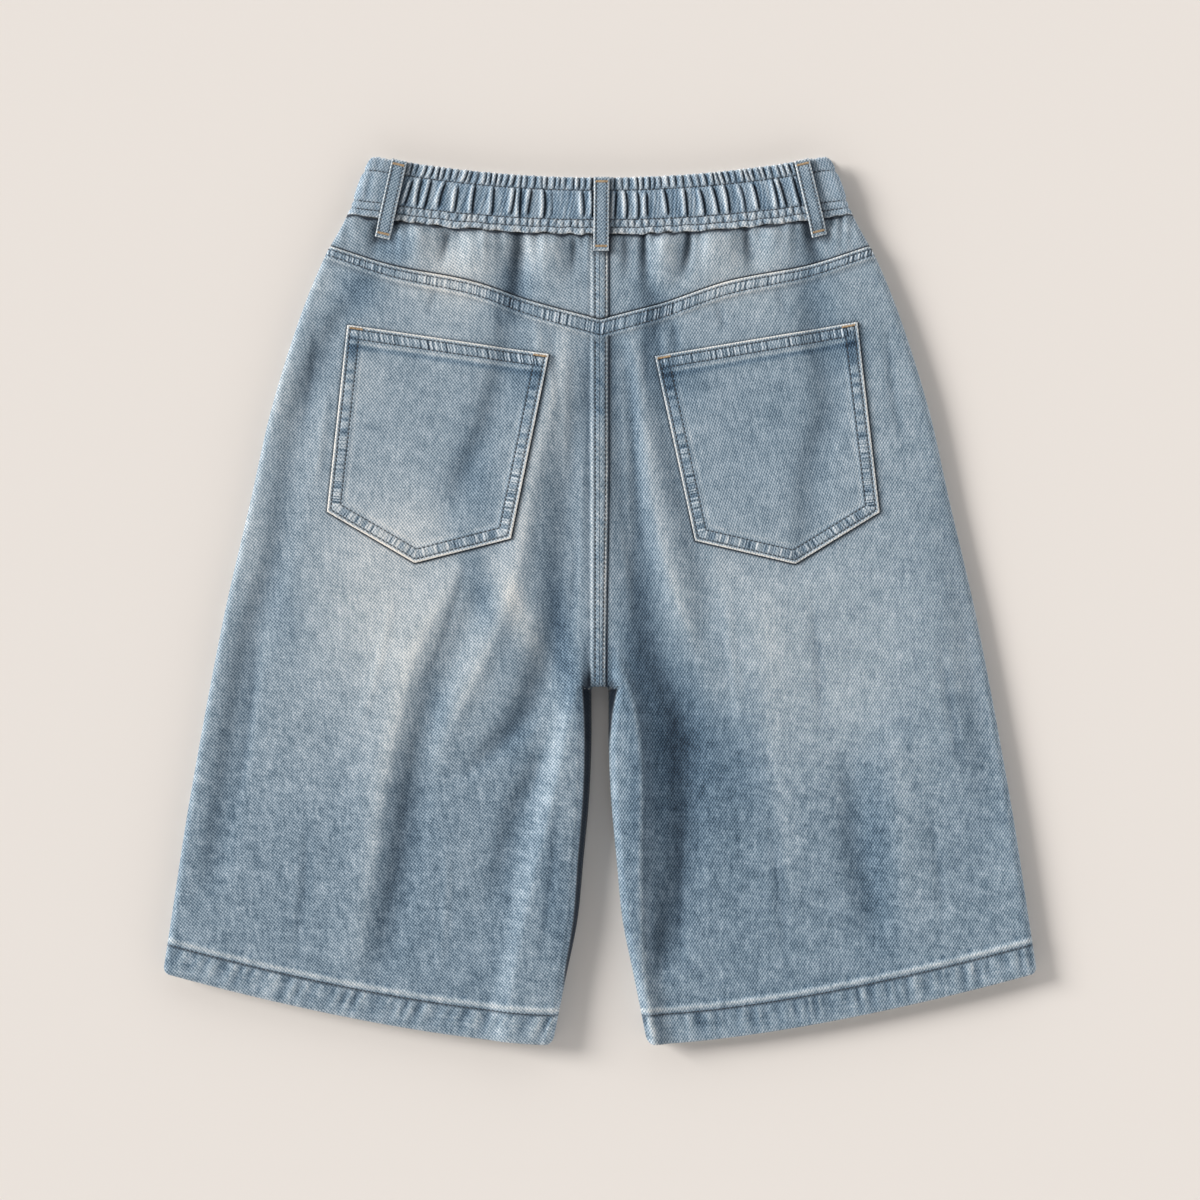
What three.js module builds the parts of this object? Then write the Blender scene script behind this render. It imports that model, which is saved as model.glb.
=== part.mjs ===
import * as THREE from 'three';

// Wide-leg denim shorts with a gathered elastic waist, laid flat on a surface with the back side up.
// Millimetres, +Z up from the surface, +Y from the hems to the waist, x = 0 on the centre seam.
// Each piece is a cloth wall: a grid of points on its outer face, and the same grid on its inner face.

// Cloth and how it lies
const CLOTH = 1.3;
const SEAM_GAP = 0.3;
const SEAM_LEVEL = 5;
const LAID_TOP = 12;
const EDGE_DEPTH = 5.5;
const LIP_DEPTH = 1.6;

// Waistband
const BAND_WALL = 3.2;
const BAND_TOP = 13;
const BAND_HALF = 174;
const TOP_EDGE = { centre: 624.2, rise: 14.4, half: 158 };
const WAIST_SEAM = { centre: 583, rise: 14.8, half: 181.5 };
const PLEAT = { pitch: 8.2, height: 1.5, plainFrom: 152, plainShare: 0.4 };
const BAND_ROWS = [
  { up: 0, pleat: 0.45 },
  { up: 0.16, pleat: 0.3 },
  { up: 0.36, pleat: 0.35 },
  { up: 0.55, pleat: 1 },
  { up: 0.74, pleat: 0.4 },
  { up: 1, pleat: 0.8 },
];

// Seams and hems
const FELL_RISE = 0.9;
const FELL_STEP = 0.6;
const CENTRE_FELL = { left: 4, right: 6.3 };
const YOKE_FELL = { side: 10, centre: 14 };
const HEM = { width: 25, rise: 0.5, wall: 2.4, low: 1.2, climb: 51.4, from: 34, to: 314.6, power: 1.5 };

// Half width of the laid outline at each height
const SIDE = [
  { y: 639, x: 166 },
  { y: 622, x: 173.5 },
  { y: 598, x: 181.8 },
  { y: 565, x: 199.4 },
  { y: 522, x: 216.7 },
  { y: 457, x: 236.9 },
  { y: 392, x: 251.6 },
  { y: 306, x: 271.4 },
  { y: 176, x: 295.6 },
  { y: 90, x: 308.9 },
  { y: 52.6, x: 314.6 },
];

// Inside leg edge, from the crotch down, and how far the back layer sits in from the front one
const CROTCH = 257.8;
const INNER_LEG = [
  { y: 257.8, x: 6.1, shelf: 6 },
  { y: 240, x: 6.1, shelf: 3.6 },
  { y: 214, x: 6.2, shelf: 0 },
  { y: 176.4, x: 7.9, shelf: 0 },
  { y: 133.2, x: 11.9, shelf: 0 },
  { y: 90, x: 16.2, shelf: 0 },
  { y: 46.8, x: 24.9, shelf: 0 },
  { y: 1.2, x: 34, shelf: 0 },
];

// Seam between the yoke and the back panels
const YOKE_SEAM = [
  { x: 0, y: 522 },
  { x: 47, y: 534.5 },
  { x: 92, y: 549.5 },
  { x: 150, y: 561 },
  { x: 194.5, y: 575 },
];

// Folds of the back layer: reach to the left and right of each, and the line that it follows down the cloth
const FOLDS = [
  {
    left: 9,
    right: 12,
    y: [560, 513, 479, 440, 354, 297, 220, 133, 99],
    x: [-161, -194, -209, -221, -235, -252, -266, -279, -286],
    height: [0, -2.2, -3, -2.2, -2.4, -3, -2.8, -2, 0],
  },
  {
    left: 9,
    right: 14,
    y: [354, 306, 253, 191, 133, 76, 43],
    x: [-70, -99, -122, -137, -146, -156, -160],
    height: [0, -1.8, -2.6, -3.6, -3.7, -2.4, 0],
  },
  {
    left: 13,
    right: 11,
    y: [500, 469, 421, 364, 297, 239, 216, 187],
    x: [-7, -12, -24, -29, -36, -55, -74, -104],
    height: [0, -1.8, -2.4, -3, -3.6, -3.7, -2.8, 0],
  },
  {
    left: 9,
    right: 12,
    y: [223, 205, 171, 133, 90],
    x: [-40, -43, -60, -70, -79],
    height: [0, -1.6, -2.4, -1.8, 0],
  },
  {
    left: 10,
    right: 12,
    y: [580, 549, 498, 445, 412, 371],
    x: [-61, -60, -70, -84, -99, -112],
    height: [0, -2, -2.2, -2.4, -2.2, 0],
  },
  {
    left: 11,
    right: 15,
    y: [536, 493, 445, 383, 325, 277, 239, 191, 133, 76, 43],
    x: [9, 12, 14, 19, 27, 36, 52, 56, 54, 45, 40],
    height: [0, -2, -2.4, -2.8, -3.2, -3.7, -3.9, -3.9, -3.9, -3.4, 0],
  },
  {
    left: 8,
    right: 11,
    y: [580, 531, 493, 450, 412, 364, 315, 263],
    x: [43, 43, 38, 45, 53, 65, 74, 74],
    height: [0, -2.1, -2.4, -2.2, -2.4, -2.2, -1.6, 0],
  },
  {
    left: 11,
    right: 14,
    y: [585, 527, 459, 421, 364, 328],
    x: [144, 151, 161, 151, 146, 144],
    height: [0, -2.2, -2.4, -2.4, -1.8, 0],
  },
  {
    left: 11,
    right: 14,
    y: [220, 191, 143, 95, 61],
    x: [176, 178, 182, 192, 200],
    height: [0, -1.8, -2.4, -2, 0],
  },
  {
    left: 15,
    right: 15,
    y: [470, 380, 296, 210, 120],
    x: [232, 250, 262, 272, 282],
    height: [0, -1.6, -2, -1.8, 0],
  },
  {
    left: 14,
    right: 9,
    y: [536, 486, 441, 383, 328, 277, 230, 184],
    x: [-18, -29, -41, -53, -63, -84, -108, -122],
    height: [0, 1.8, 2.4, 2.6, 2.4, 2, 1.6, 0],
  },
  {
    left: 8,
    right: 12,
    y: [529, 493, 436, 383, 325, 284, 248],
    x: [18, 27, 34, 41, 55, 70, 83],
    height: [0, 2, 2.4, 2.2, 2, 1.2, 0],
  },
  {
    left: 20,
    right: 9,
    y: [372, 338, 287, 234, 191, 133, 68, 32],
    x: [-95, -104, -132, -146, -156, -164, -173, -176],
    height: [0, 1.2, 1.8, 2.2, 2.4, 2, 1, 0],
  },
  {
    left: 24,
    right: 24,
    y: [349, 292, 220, 133, 76],
    x: [115, 122, 126, 137, 144],
    height: [0, 1.4, 1.6, 1.2, 0],
  },
  {
    left: 20,
    right: 18,
    y: [248, 176, 119, 68],
    x: [209, 216, 220, 223],
    height: [0, 1.6, 1.4, 0],
  },
];

// Tall folds that stand along the inside legs: the crest's x on each leg, and its height
const PUFF = [
  { y: 300, left: -14, right: 9, height: 0 },
  { y: 281, left: -14, right: 12, height: 1.5 },
  { y: 262, left: -15, right: 19, height: 5 },
  { y: 240, left: -19, right: 25, height: 7.5 },
  { y: 202, left: -27, right: 29.5, height: 8.5 },
  { y: 162, left: -36, right: 29.5, height: 8 },
  { y: 114, left: -47, right: 29, height: 6.5 },
  { y: 61, left: -58, right: 31, height: 5 },
  { y: 32, left: -63, right: 35, height: 4 },
  { y: 0, left: -67, right: 41, height: 3.5 },
];
const PUFF_SHAPE = { left: 12, right: 8, slope: 0.3, notchFrom: 8, notchTo: 13 };

// Gathers that fan out below the waist seam
const GATHERS = [
  { x: -158, lean: -8, length: 34, width: 8, height: -0.9 },
  { x: -128, lean: -8, length: 40, width: 9, height: 1.1 },
  { x: -108, lean: -6, length: 30, width: 7, height: -1 },
  { x: -84, lean: -5, length: 44, width: 9, height: 1.2 },
  { x: -58, lean: -6, length: 62, width: 10, height: -1.5 },
  { x: -36, lean: -3, length: 42, width: 8, height: 1.1 },
  { x: -18, lean: -2, length: 36, width: 6, height: -1 },
  { x: 17, lean: 3, length: 36, width: 6, height: -0.9 },
  { x: 31, lean: 5, length: 58, width: 8, height: -1.3 },
  { x: 48, lean: -3, length: 46, width: 9, height: 1.5 },
  { x: 64, lean: -8, length: 44, width: 8, height: -1.4 },
  { x: 84, lean: 4, length: 36, width: 8, height: 1.1 },
  { x: 104, lean: 6, length: 40, width: 8, height: -1 },
  { x: 126, lean: 8, length: 36, width: 8, height: 1.1 },
  { x: 148, lean: 12, length: 46, width: 9, height: -1.2 },
];

// Patch pockets: corners in the order of a five-sided patch
const POCKET_GAP = 0.35;
const POCKET_HEM = { width: 10, rise: 0.5 };
const POCKETS = [
  {
    name: 'pocket_left',
    topOut: [-181.4, 518],
    topIn: [-36.7, 496.8],
    lowIn: [-64, 364.5],
    tip: [-133, 347],
    lowOut: [-196, 383.8],
  },
  {
    name: 'pocket_right',
    topOut: [184.7, 520],
    topIn: [39.5, 495.5],
    lowIn: [68.4, 363],
    tip: [140.3, 346.3],
    lowOut: [200.7, 383.4],
  },
];

// Belt loops: middle of the top end and of the bottom end
const LOOP = { width: 11, wall: 1.8, gap: 0.35 };
const LOOPS = [
  { name: 'belt_loop_left', top: [-143.7, 636], bottom: [-156.3, 580.3] },
  { name: 'belt_loop_centre', top: [1.2, 624], bottom: [0.7, 571] },
  { name: 'belt_loop_right', top: [144.6, 636.3], bottom: [157.7, 581.8] },
];

// Grids: distances in from a curled edge, then even runs across and down
const EDGE_STEPS = [0, 0.5, 1.6, 3.2, 6.5];
const BACK_GRID = { across: 24, seat: 12, leg: 11 };
const FRONT_GRID = { across: 5, seat: 5, leg: 6 };
const YOKE_ROWS = 4;
const POCKET_GRID = { across: 10, down: 9 };
const LOOP_ROWS = 12;

// A panel's rows are this much lower at the centre than at the side, as its hem and yoke seam are
const ROW_LEAN = 50;

// A patch or loop bridges troughs narrower than twice this
const REST_REACH = 6;

const DENIM = { colour: 0x8fa9bf, roughness: 0.92, metalness: 0 };

const lerp = THREE.MathUtils.lerp;
const { clamp, smoothstep } = THREE.MathUtils;

// Smooth curve through the rows of a table, read at one column's value
function readTable(table, key, value, column) {
  const falling = table[0][key] > table[table.length - 1][key];
  const rows = falling ? [...table].reverse() : table;
  const last = rows.length - 1;
  let i = 0;
  while (i < last - 1 && value > rows[i + 1][key]) i += 1;
  const slope = (a, b) => (rows[b][column] - rows[a][column]) / (rows[b][key] - rows[a][key]);
  const start = slope(Math.max(0, i - 1), i + 1);
  const end = slope(i, Math.min(last, i + 2));
  const span = rows[i + 1][key] - rows[i][key];
  const t = (value - rows[i][key]) / span;
  if (t < 0) return rows[i][column] + start * span * t;
  if (t > 1) return rows[i + 1][column] + end * span * (t - 1);
  const a = t * t * (3 - 2 * t);
  const b = t * (1 - t) * (1 - t);
  const c = -t * t * (1 - t);
  return lerp(rows[i][column], rows[i + 1][column], a) + span * (start * b + end * c);
}

const sideX = (y) => readTable(SIDE, 'y', y, 'x');
const innerLegX = (y) => readTable(INNER_LEG, 'y', y, 'x');
const yokeSeamY = (x) => readTable(YOKE_SEAM, 'x', Math.abs(x), 'y');
const parabola = (line, x) => line.centre + line.rise * (x / line.half) ** 2;

function hemY(x) {
  const t = clamp((Math.abs(x) - HEM.from) / (HEM.to - HEM.from), 0, 1.1);
  return HEM.low + HEM.climb * t ** HEM.power;
}

// Curled edges of the right half, with the cloth on their left: the side, and the crotch with the inside leg
function sampled(yFrom, yTo, steps, xAt) {
  return Array.from({ length: steps + 1 }, (_, i) => {
    const y = lerp(yFrom, yTo, i / steps);
    return [xAt(y), y];
  });
}
const SIDE_EDGE = sampled(30, 660, 42, sideX);
const LEG_EDGE = [[0, CROTCH], ...sampled(CROTCH, -20, 24, innerLegX)];

// Nearest point of an edge: the distance to it, and the way from it into the cloth
function nearest(edge, x, y) {
  let best = { distance: Infinity, into: [0, 0] };
  for (let i = 0; i < edge.length - 1; i += 1) {
    const [ax, ay] = edge[i];
    const [bx, by] = edge[i + 1];
    const length = Math.hypot(bx - ax, by - ay);
    const t = clamp(((x - ax) * (bx - ax) + (y - ay) * (by - ay)) / length ** 2, 0, 1);
    const dx = x - lerp(ax, bx, t);
    const dy = y - lerp(ay, by, t);
    const distance = Math.hypot(dx, dy);
    if (distance < best.distance - 1e-6) {
      const square = [-(by - ay) / length, (bx - ax) / length];
      best = { distance, into: distance > 0.05 ? [dx / distance, dy / distance] : square };
    }
  }
  return best;
}

function curledEdge(x, y) {
  const hand = x < 0 ? -1 : 1;
  const side = nearest(SIDE_EDGE, Math.abs(x), y);
  const leg = nearest(LEG_EDGE, Math.abs(x), y);
  const edge = side.distance < leg.distance ? { ...side, shelf: 0 } : { ...leg, shelf: shelfAt(y) };
  return { ...edge, into: [edge.into[0] * hand, edge.into[1]] };
}

function shelfAt(y) {
  return y < CROTCH ? clamp(readTable(INNER_LEG, 'y', y, 'shelf'), 0, INNER_LEG[0].shelf) : 0;
}

// Share of the full height at a distance in from a curled edge: a quarter ellipse
function rounding(distance, depth = EDGE_DEPTH) {
  const away = 1 - clamp(distance / depth, 0, 1);
  return Math.sqrt(1 - away * away);
}

const bell = (away) => Math.exp(-away * away);

const FOLD_LINES = FOLDS.map((fold) => ({
  ...fold,
  line: fold.y.map((y, i) => ({ y, x: fold.x[i], height: fold.height[i] })),
}));

// Height of the tall folds along the inside legs: a flank up from the leg's edge, a crest, then a steep fall
function puffHeight(x, y) {
  if (y > PUFF[0].y) return 0;
  const hand = x < 0 ? 'left' : 'right';
  const crest = Math.abs(readTable(PUFF, 'y', y, hand));
  const beyond = Math.abs(x) - crest;
  const edge = innerLegX(Math.min(y, CROTCH));
  const downFlank = clamp(-beyond / Math.max(crest - edge, 1), 0, 1);
  const { notchFrom, notchTo } = PUFF_SHAPE;
  const aboveCrotch = smoothstep(y, CROTCH - 6, CROTCH + 2);
  const notch = lerp(1, smoothstep(Math.abs(x), notchFrom, notchTo), aboveCrotch);
  const fall = bell(Math.max(beyond, 0) / PUFF_SHAPE[hand]);
  return readTable(PUFF, 'y', y, 'height') * fall * (1 - PUFF_SHAPE.slope * downFlank ** 2) * notch;
}

// Top of the back layer where it lies, with its folds and gathers
function laidHeight(x, y) {
  let z = LAID_TOP + puffHeight(x, y);
  for (const fold of FOLD_LINES) {
    const [top, low] = [fold.line[0], fold.line[fold.line.length - 1]];
    if (y < top.y && y > low.y) {
      const away = x - readTable(fold.line, 'y', y, 'x');
      z += readTable(fold.line, 'y', y, 'height') * bell(away / (away < 0 ? fold.left : fold.right));
    }
  }
  const below = parabola(WAIST_SEAM, x) - y;
  for (const gather of GATHERS) {
    const t = below / gather.length;
    if (t >= 0 && t < 1) {
      const line = gather.x + gather.lean * t;
      const fade = Math.cos((Math.PI / 2) * t) * Math.min(1, 0.4 + t * 3);
      z += gather.height * fade * bell((x - line) / (gather.width * (1 + t)));
    }
  }
  return z;
}

// A point of the upper layer, on its outer and inner faces
function upperWall(x, y, top, wall = CLOTH, relief = 0) {
  const edge = curledEdge(x, y);
  const start = SEAM_LEVEL + SEAM_GAP / 2;
  const round = rounding(edge.distance - edge.shelf);
  const lip = rounding(edge.distance, LIP_DEPTH);
  const inset = wall * (1 - clamp(edge.distance / (EDGE_DEPTH + edge.shelf), 0, 1));
  return {
    outer: [x, y, start + CLOTH * lip + (top - CLOTH - start) * round + relief * round],
    inner: [x + edge.into[0] * inset, y + edge.into[1] * inset, start + (top - wall - start) * round],
  };
}

// A point of the lower layer, which lies on the surface and curls up at its edges
function lowerWall(x, y, wall = CLOTH) {
  const edge = curledEdge(x, y);
  const end = SEAM_LEVEL - SEAM_GAP / 2;
  const round = rounding(edge.distance);
  const inset = wall * (1 - clamp(edge.distance / EDGE_DEPTH, 0, 1));
  return {
    outer: [x, y, end * (1 - round)],
    inner: [x + edge.into[0] * inset, y + edge.into[1] * inset, end - (end - wall) * round],
  };
}

// Closed mesh from a grid of wall points
function wallMesh(name, grid) {
  const rows = grid.length;
  const columns = grid[0].length;
  const positions = [];
  for (const face of ['outer', 'inner']) {
    for (const row of grid) {
      for (const point of row) positions.push(...point[face]);
    }
  }
  const at = (face, j, i) => face * rows * columns + j * columns + i;
  const quads = [];
  for (let j = 0; j < rows - 1; j += 1) {
    for (let i = 0; i < columns - 1; i += 1) {
      quads.push([at(0, j, i), at(0, j, i + 1), at(0, j + 1, i + 1), at(0, j + 1, i)]);
      quads.push([at(1, j, i), at(1, j + 1, i), at(1, j + 1, i + 1), at(1, j, i + 1)]);
    }
  }
  for (let i = 0; i < columns - 1; i += 1) {
    quads.push([at(0, 0, i + 1), at(0, 0, i), at(1, 0, i), at(1, 0, i + 1)]);
    quads.push([at(0, rows - 1, i), at(0, rows - 1, i + 1), at(1, rows - 1, i + 1), at(1, rows - 1, i)]);
  }
  for (let j = 0; j < rows - 1; j += 1) {
    quads.push([at(0, j, 0), at(0, j + 1, 0), at(1, j + 1, 0), at(1, j, 0)]);
    const end = columns - 1;
    quads.push([at(0, j + 1, end), at(0, j, end), at(1, j, end), at(1, j + 1, end)]);
  }
  let index = quads.flatMap(([a, b, c, d]) => [a, b, c, a, c, d]);
  if (signedVolume(positions, index) < 0) index = index.reverse();
  const geometry = new THREE.BufferGeometry();
  geometry.setAttribute('position', new THREE.Float32BufferAttribute(positions, 3));
  geometry.setIndex(index);
  geometry.computeVertexNormals();
  const material = new THREE.MeshStandardMaterial({
    color: DENIM.colour,
    roughness: DENIM.roughness,
    metalness: DENIM.metalness,
  });
  const mesh = new THREE.Mesh(geometry, material);
  mesh.name = name;
  return mesh;
}

function signedVolume(positions, index) {
  const corner = (i) => new THREE.Vector3().fromArray(positions, 3 * index[i]);
  let volume = 0;
  for (let i = 0; i < index.length; i += 3) {
    volume += corner(i).dot(corner(i + 1).cross(corner(i + 2)));
  }
  return volume / 6;
}

// Distances across a row: fine at the side edge, even in the middle, fine at the centre edge
function acrossSteps(length, across, centreSteps) {
  const first = EDGE_STEPS[EDGE_STEPS.length - 1];
  const last = length - centreSteps[centreSteps.length - 1];
  const middle = Array.from({ length: across - 1 }, (_, i) => lerp(first, last, (i + 1) / across));
  const centre = centreSteps.map((step) => length - step).reverse();
  return [...EDGE_STEPS, ...middle, ...centre];
}

// Rows of a panel from its side edge to its centre edge: down the centre seam, along the crotch, down the leg
function panelRows(hand, topCentre, topSide, steps) {
  const rows = [];
  const push = (sideY, x, y, down, part) => {
    rows.push({ side: [hand * sideX(sideY), sideY], centre: [hand * x, y], down, part });
  };
  const seamX = SEAM_GAP / 2;
  const fell = steps.fell ? [0, steps.fell] : [];
  const sideShare = YOKE_FELL.side / YOKE_FELL.centre;
  fell.forEach((drop) => push(topSide - drop * sideShare, seamX, topCentre - drop, 0, 'fell'));
  const seatDrop = steps.fell ? steps.fell + FELL_STEP : 0;
  const seatLow = CROTCH + EDGE_DEPTH;
  for (let i = 0; i <= steps.seat; i += 1) {
    const t = i / steps.seat;
    const y = lerp(topCentre - seatDrop, seatLow, t);
    push(lerp(topSide - seatDrop * sideShare, seatLow + ROW_LEAN, t), seamX, y, t / 2, 'seat');
  }
  for (const up of [3.5, 1, 0]) push(CROTCH + up + ROW_LEAN, seamX, CROTCH + up, 0.5, 'seat');
  const hemHeight = HEM.width + FELL_STEP;
  const hemTop = { side: hemY(HEM.to) + hemHeight, centre: hemY(HEM.from) + hemHeight };
  const legTop = CROTCH + ROW_LEAN - INNER_LEG[0].x;
  for (let i = 0; i <= steps.leg; i += 1) {
    const t = i / steps.leg;
    const y = lerp(CROTCH, hemTop.centre, t);
    push(lerp(legTop, hemTop.side, t), innerLegX(y), y, lerp(0.5, 1, t), 'leg');
  }
  for (const up of [HEM.width, 0]) {
    const y = hemY(HEM.from) + up;
    push(hemY(HEM.to) + up, innerLegX(y), y, 1, 'hem');
  }
  return rows;
}

// Points along a panel row, bowed to follow the top seam above and the hem below
function rowPoints(row, distances, topLine) {
  const length = distances[distances.length - 1];
  return distances.map((distance) => {
    const t = distance / length;
    const x = lerp(row.side[0], row.centre[0], t);
    const y = lerp(row.side[1], row.centre[1], t);
    const topBow = bowOf(topLine, row, t);
    const hemBow = bowOf(hemY, row, t);
    return [x, y + lerp(topBow, hemBow, row.down)];
  });
}

function bowOf(line, row, t) {
  const straight = lerp(line(row.side[0]), line(row.centre[0]), t);
  return line(lerp(row.side[0], row.centre[0], t)) - straight;
}

const spanOf = (row) => Math.hypot(row.side[0] - row.centre[0], row.side[1] - row.centre[1]);

function centreFellSteps(hand) {
  const width = hand < 0 ? CENTRE_FELL.left : CENTRE_FELL.right;
  return [0, 0.5, 1.8, width, width + FELL_STEP, width + 5];
}

// Raised felled seam down the centre back, above the crotch
function centreFell(hand, x, y) {
  const width = hand < 0 ? CENTRE_FELL.left : CENTRE_FELL.right;
  return Math.abs(x) < width + FELL_STEP / 2 && y > CROTCH ? FELL_RISE : 0;
}

function backPanel(name, hand) {
  const topSide = yokeSeamY(YOKE_SEAM[YOKE_SEAM.length - 1].x) - SEAM_GAP / 2;
  const topCentre = yokeSeamY(0) - SEAM_GAP / 2;
  const rows = panelRows(hand, topCentre, topSide, { ...BACK_GRID, fell: YOKE_FELL.centre });
  const steps = centreFellSteps(hand);
  const rise = { fell: FELL_RISE, seat: 0, leg: 0, hem: HEM.rise };
  const grid = rows.map((row) => {
    const distances = acrossSteps(spanOf(row), BACK_GRID.across, steps);
    return rowPoints(row, distances, yokeSeamY).map(([x, y]) => {
      const relief = Math.max(rise[row.part], centreFell(hand, x, y));
      return upperWall(x, y, laidHeight(x, y), row.part === 'hem' ? HEM.wall : CLOTH, relief);
    });
  });
  return wallMesh(name, grid);
}

function frontPanel(name, hand) {
  const topLine = (x) => parabola(WAIST_SEAM, x);
  const topSide = topLine(WAIST_SEAM.half) - SEAM_GAP / 2;
  const topCentre = topLine(0) - SEAM_GAP / 2;
  const rows = panelRows(hand, topCentre, topSide, FRONT_GRID);
  const grid = rows.map((row) => {
    const distances = acrossSteps(spanOf(row), FRONT_GRID.across, EDGE_STEPS);
    const wall = row.part === 'hem' ? HEM.wall : CLOTH;
    return rowPoints(row, distances, topLine).map(([x, y]) => lowerWall(x, y, wall));
  });
  return wallMesh(name, grid);
}

function yokeHalf(name, hand) {
  const grid = [];
  const sideTop = parabola(WAIST_SEAM, WAIST_SEAM.half);
  const sideLow = yokeSeamY(YOKE_SEAM[YOKE_SEAM.length - 1].x);
  for (let j = 0; j <= YOKE_ROWS; j += 1) {
    const t = j / YOKE_ROWS;
    const half = sideX(lerp(sideTop, sideLow, t));
    const distances = acrossSteps(half - SEAM_GAP / 2, BACK_GRID.across, centreFellSteps(hand));
    grid.push(distances.map((distance) => {
      const x = half - distance;
      const upper = parabola(WAIST_SEAM, x) - SEAM_GAP / 2;
      const lower = yokeSeamY(x) + SEAM_GAP / 2;
      const y = lerp(upper, lower, t);
      return upperWall(hand * x, y, laidHeight(hand * x, y), CLOTH, centreFell(hand, x, y));
    }));
  }
  return wallMesh(name, grid);
}

// Crease places of the gathered waistband, unevenly spaced
function pleatCreases() {
  const creases = [];
  const limit = BAND_HALF - EDGE_STEPS[EDGE_STEPS.length - 1] - 2;
  for (let x = -limit, i = 0; x < limit; i += 1) {
    creases.push(x);
    x += PLEAT.pitch * (1 + 0.22 * Math.sin(1.9 * i) + 0.14 * Math.sin(4.3 * i + 1));
  }
  return creases;
}

function bandColumns() {
  const ends = EDGE_STEPS.map((step) => BAND_HALF - step);
  const creases = pleatCreases();
  const pleats = [];
  creases.forEach((x, i) => {
    pleats.push({ x, lift: 0 });
    if (i === creases.length - 1) return;
    const share = Math.abs(x) > PLEAT.plainFrom ? PLEAT.plainShare : 1;
    const lift = share * (0.75 + 0.25 * Math.sin(3.7 * i));
    const width = creases[i + 1] - x;
    pleats.push({ x: x + 0.3 * width, lift });
    pleats.push({ x: x + 0.72 * width, lift: 0.85 * lift });
  });
  const low = ends.map((x) => ({ x: -x, lift: 0 }));
  const high = ends.map((x) => ({ x, lift: 0 })).reverse();
  return [...low, ...pleats, ...high];
}

function bandPlace(column, up) {
  const sideLow = parabola(WAIST_SEAM, WAIST_SEAM.half) + SEAM_GAP / 2;
  const y = lerp(sideLow, SIDE[0].y, up);
  const x = (column / BAND_HALF) * sideX(y);
  const low = parabola(WAIST_SEAM, x) + SEAM_GAP / 2;
  const high = Math.min(parabola(TOP_EDGE, x), SIDE[0].y);
  return [x, lerp(low, high, up)];
}

function waistbandBack(name) {
  const columns = bandColumns();
  const grid = BAND_ROWS.map((row) => columns.map((column) => {
    const [x, y] = bandPlace(column.x, row.up);
    const relief = PLEAT.height * row.pleat * column.lift;
    return upperWall(x, y, BAND_TOP, BAND_WALL, relief);
  }));
  return wallMesh(name, grid);
}

function waistbandFront(name) {
  const half = acrossSteps(BAND_HALF, FRONT_GRID.across, [0]).map((distance) => BAND_HALF - distance);
  const columns = [...half.map((x) => -x), ...half.slice(0, -1).reverse()];
  const grid = [0, 0.5, 1].map((up) => columns.map((column) => {
    const [x, y] = bandPlace(column, up);
    return lowerWall(x, y, BAND_WALL);
  }));
  return wallMesh(name, grid);
}

// Height that a stiff patch rests at: the highest cloth within its reach
function restHeight(x, y, surface) {
  let z = -Infinity;
  for (const dx of [-REST_REACH, 0, REST_REACH]) {
    for (const dy of [-REST_REACH, 0, REST_REACH]) z = Math.max(z, surface(x + dx, y + dy));
  }
  return z;
}

const mix = (a, b, t) => [lerp(a[0], b[0], t), lerp(a[1], b[1], t)];

function patchPocket(pocket) {
  const tipShare = 0.5;
  const depth = Math.hypot(pocket.topOut[0] - pocket.lowOut[0], pocket.topOut[1] - pocket.lowOut[1]);
  const hem = POCKET_HEM.width / depth;
  const downs = [0, hem, hem + FELL_STEP / depth];
  for (let j = 1; j <= POCKET_GRID.down; j += 1) downs.push(lerp(downs[2], 1, j / POCKET_GRID.down));
  const grid = downs.map((down, j) => Array.from({ length: POCKET_GRID.across + 1 }, (_, i) => {
    const across = i / POCKET_GRID.across;
    const top = mix(pocket.topOut, pocket.topIn, across);
    const low = across < tipShare
      ? mix(pocket.lowOut, pocket.tip, across / tipShare)
      : mix(pocket.tip, pocket.lowIn, (across - tipShare) / (1 - tipShare));
    const [x, y] = mix(top, low, down);
    const z = restHeight(x, y, laidHeight) + POCKET_GAP;
    const rise = j < 2 ? POCKET_HEM.rise : 0;
    return { outer: [x, y, z + CLOTH + rise], inner: [x, y, z] };
  }));
  return wallMesh(pocket.name, grid);
}

function bandOrYoke(x, y) {
  const onBand = y > parabola(WAIST_SEAM, x) - 1;
  return onBand ? BAND_TOP + PLEAT.height : laidHeight(x, y) + (Math.abs(x) < EDGE_DEPTH ? FELL_RISE : 0);
}

function beltLoop(loop) {
  const [dx, dy] = [loop.bottom[0] - loop.top[0], loop.bottom[1] - loop.top[1]];
  const length = Math.hypot(dx, dy);
  const square = [-dy / length, dx / length];
  const grid = Array.from({ length: LOOP_ROWS + 1 }, (_, j) => [-0.5, 0, 0.5].map((across) => {
    const middle = mix(loop.top, loop.bottom, j / LOOP_ROWS);
    const x = middle[0] + square[0] * LOOP.width * across;
    const y = middle[1] + square[1] * LOOP.width * across;
    const z = restHeight(x, y, bandOrYoke) + LOOP.gap;
    return { outer: [x, y, z + LOOP.wall], inner: [x, y, z] };
  }));
  return wallMesh(loop.name, grid);
}

const shorts = new THREE.Group();
shorts.add(waistbandBack('waistband_back'), waistbandFront('waistband_front'));
for (const [word, hand] of [['left', -1], ['right', 1]]) {
  shorts.add(yokeHalf(`yoke_${word}`, hand));
  shorts.add(backPanel(`back_${word}`, hand));
  shorts.add(frontPanel(`front_${word}`, hand));
}
shorts.add(...POCKETS.map(patchPocket), ...LOOPS.map(beltLoop));

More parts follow.
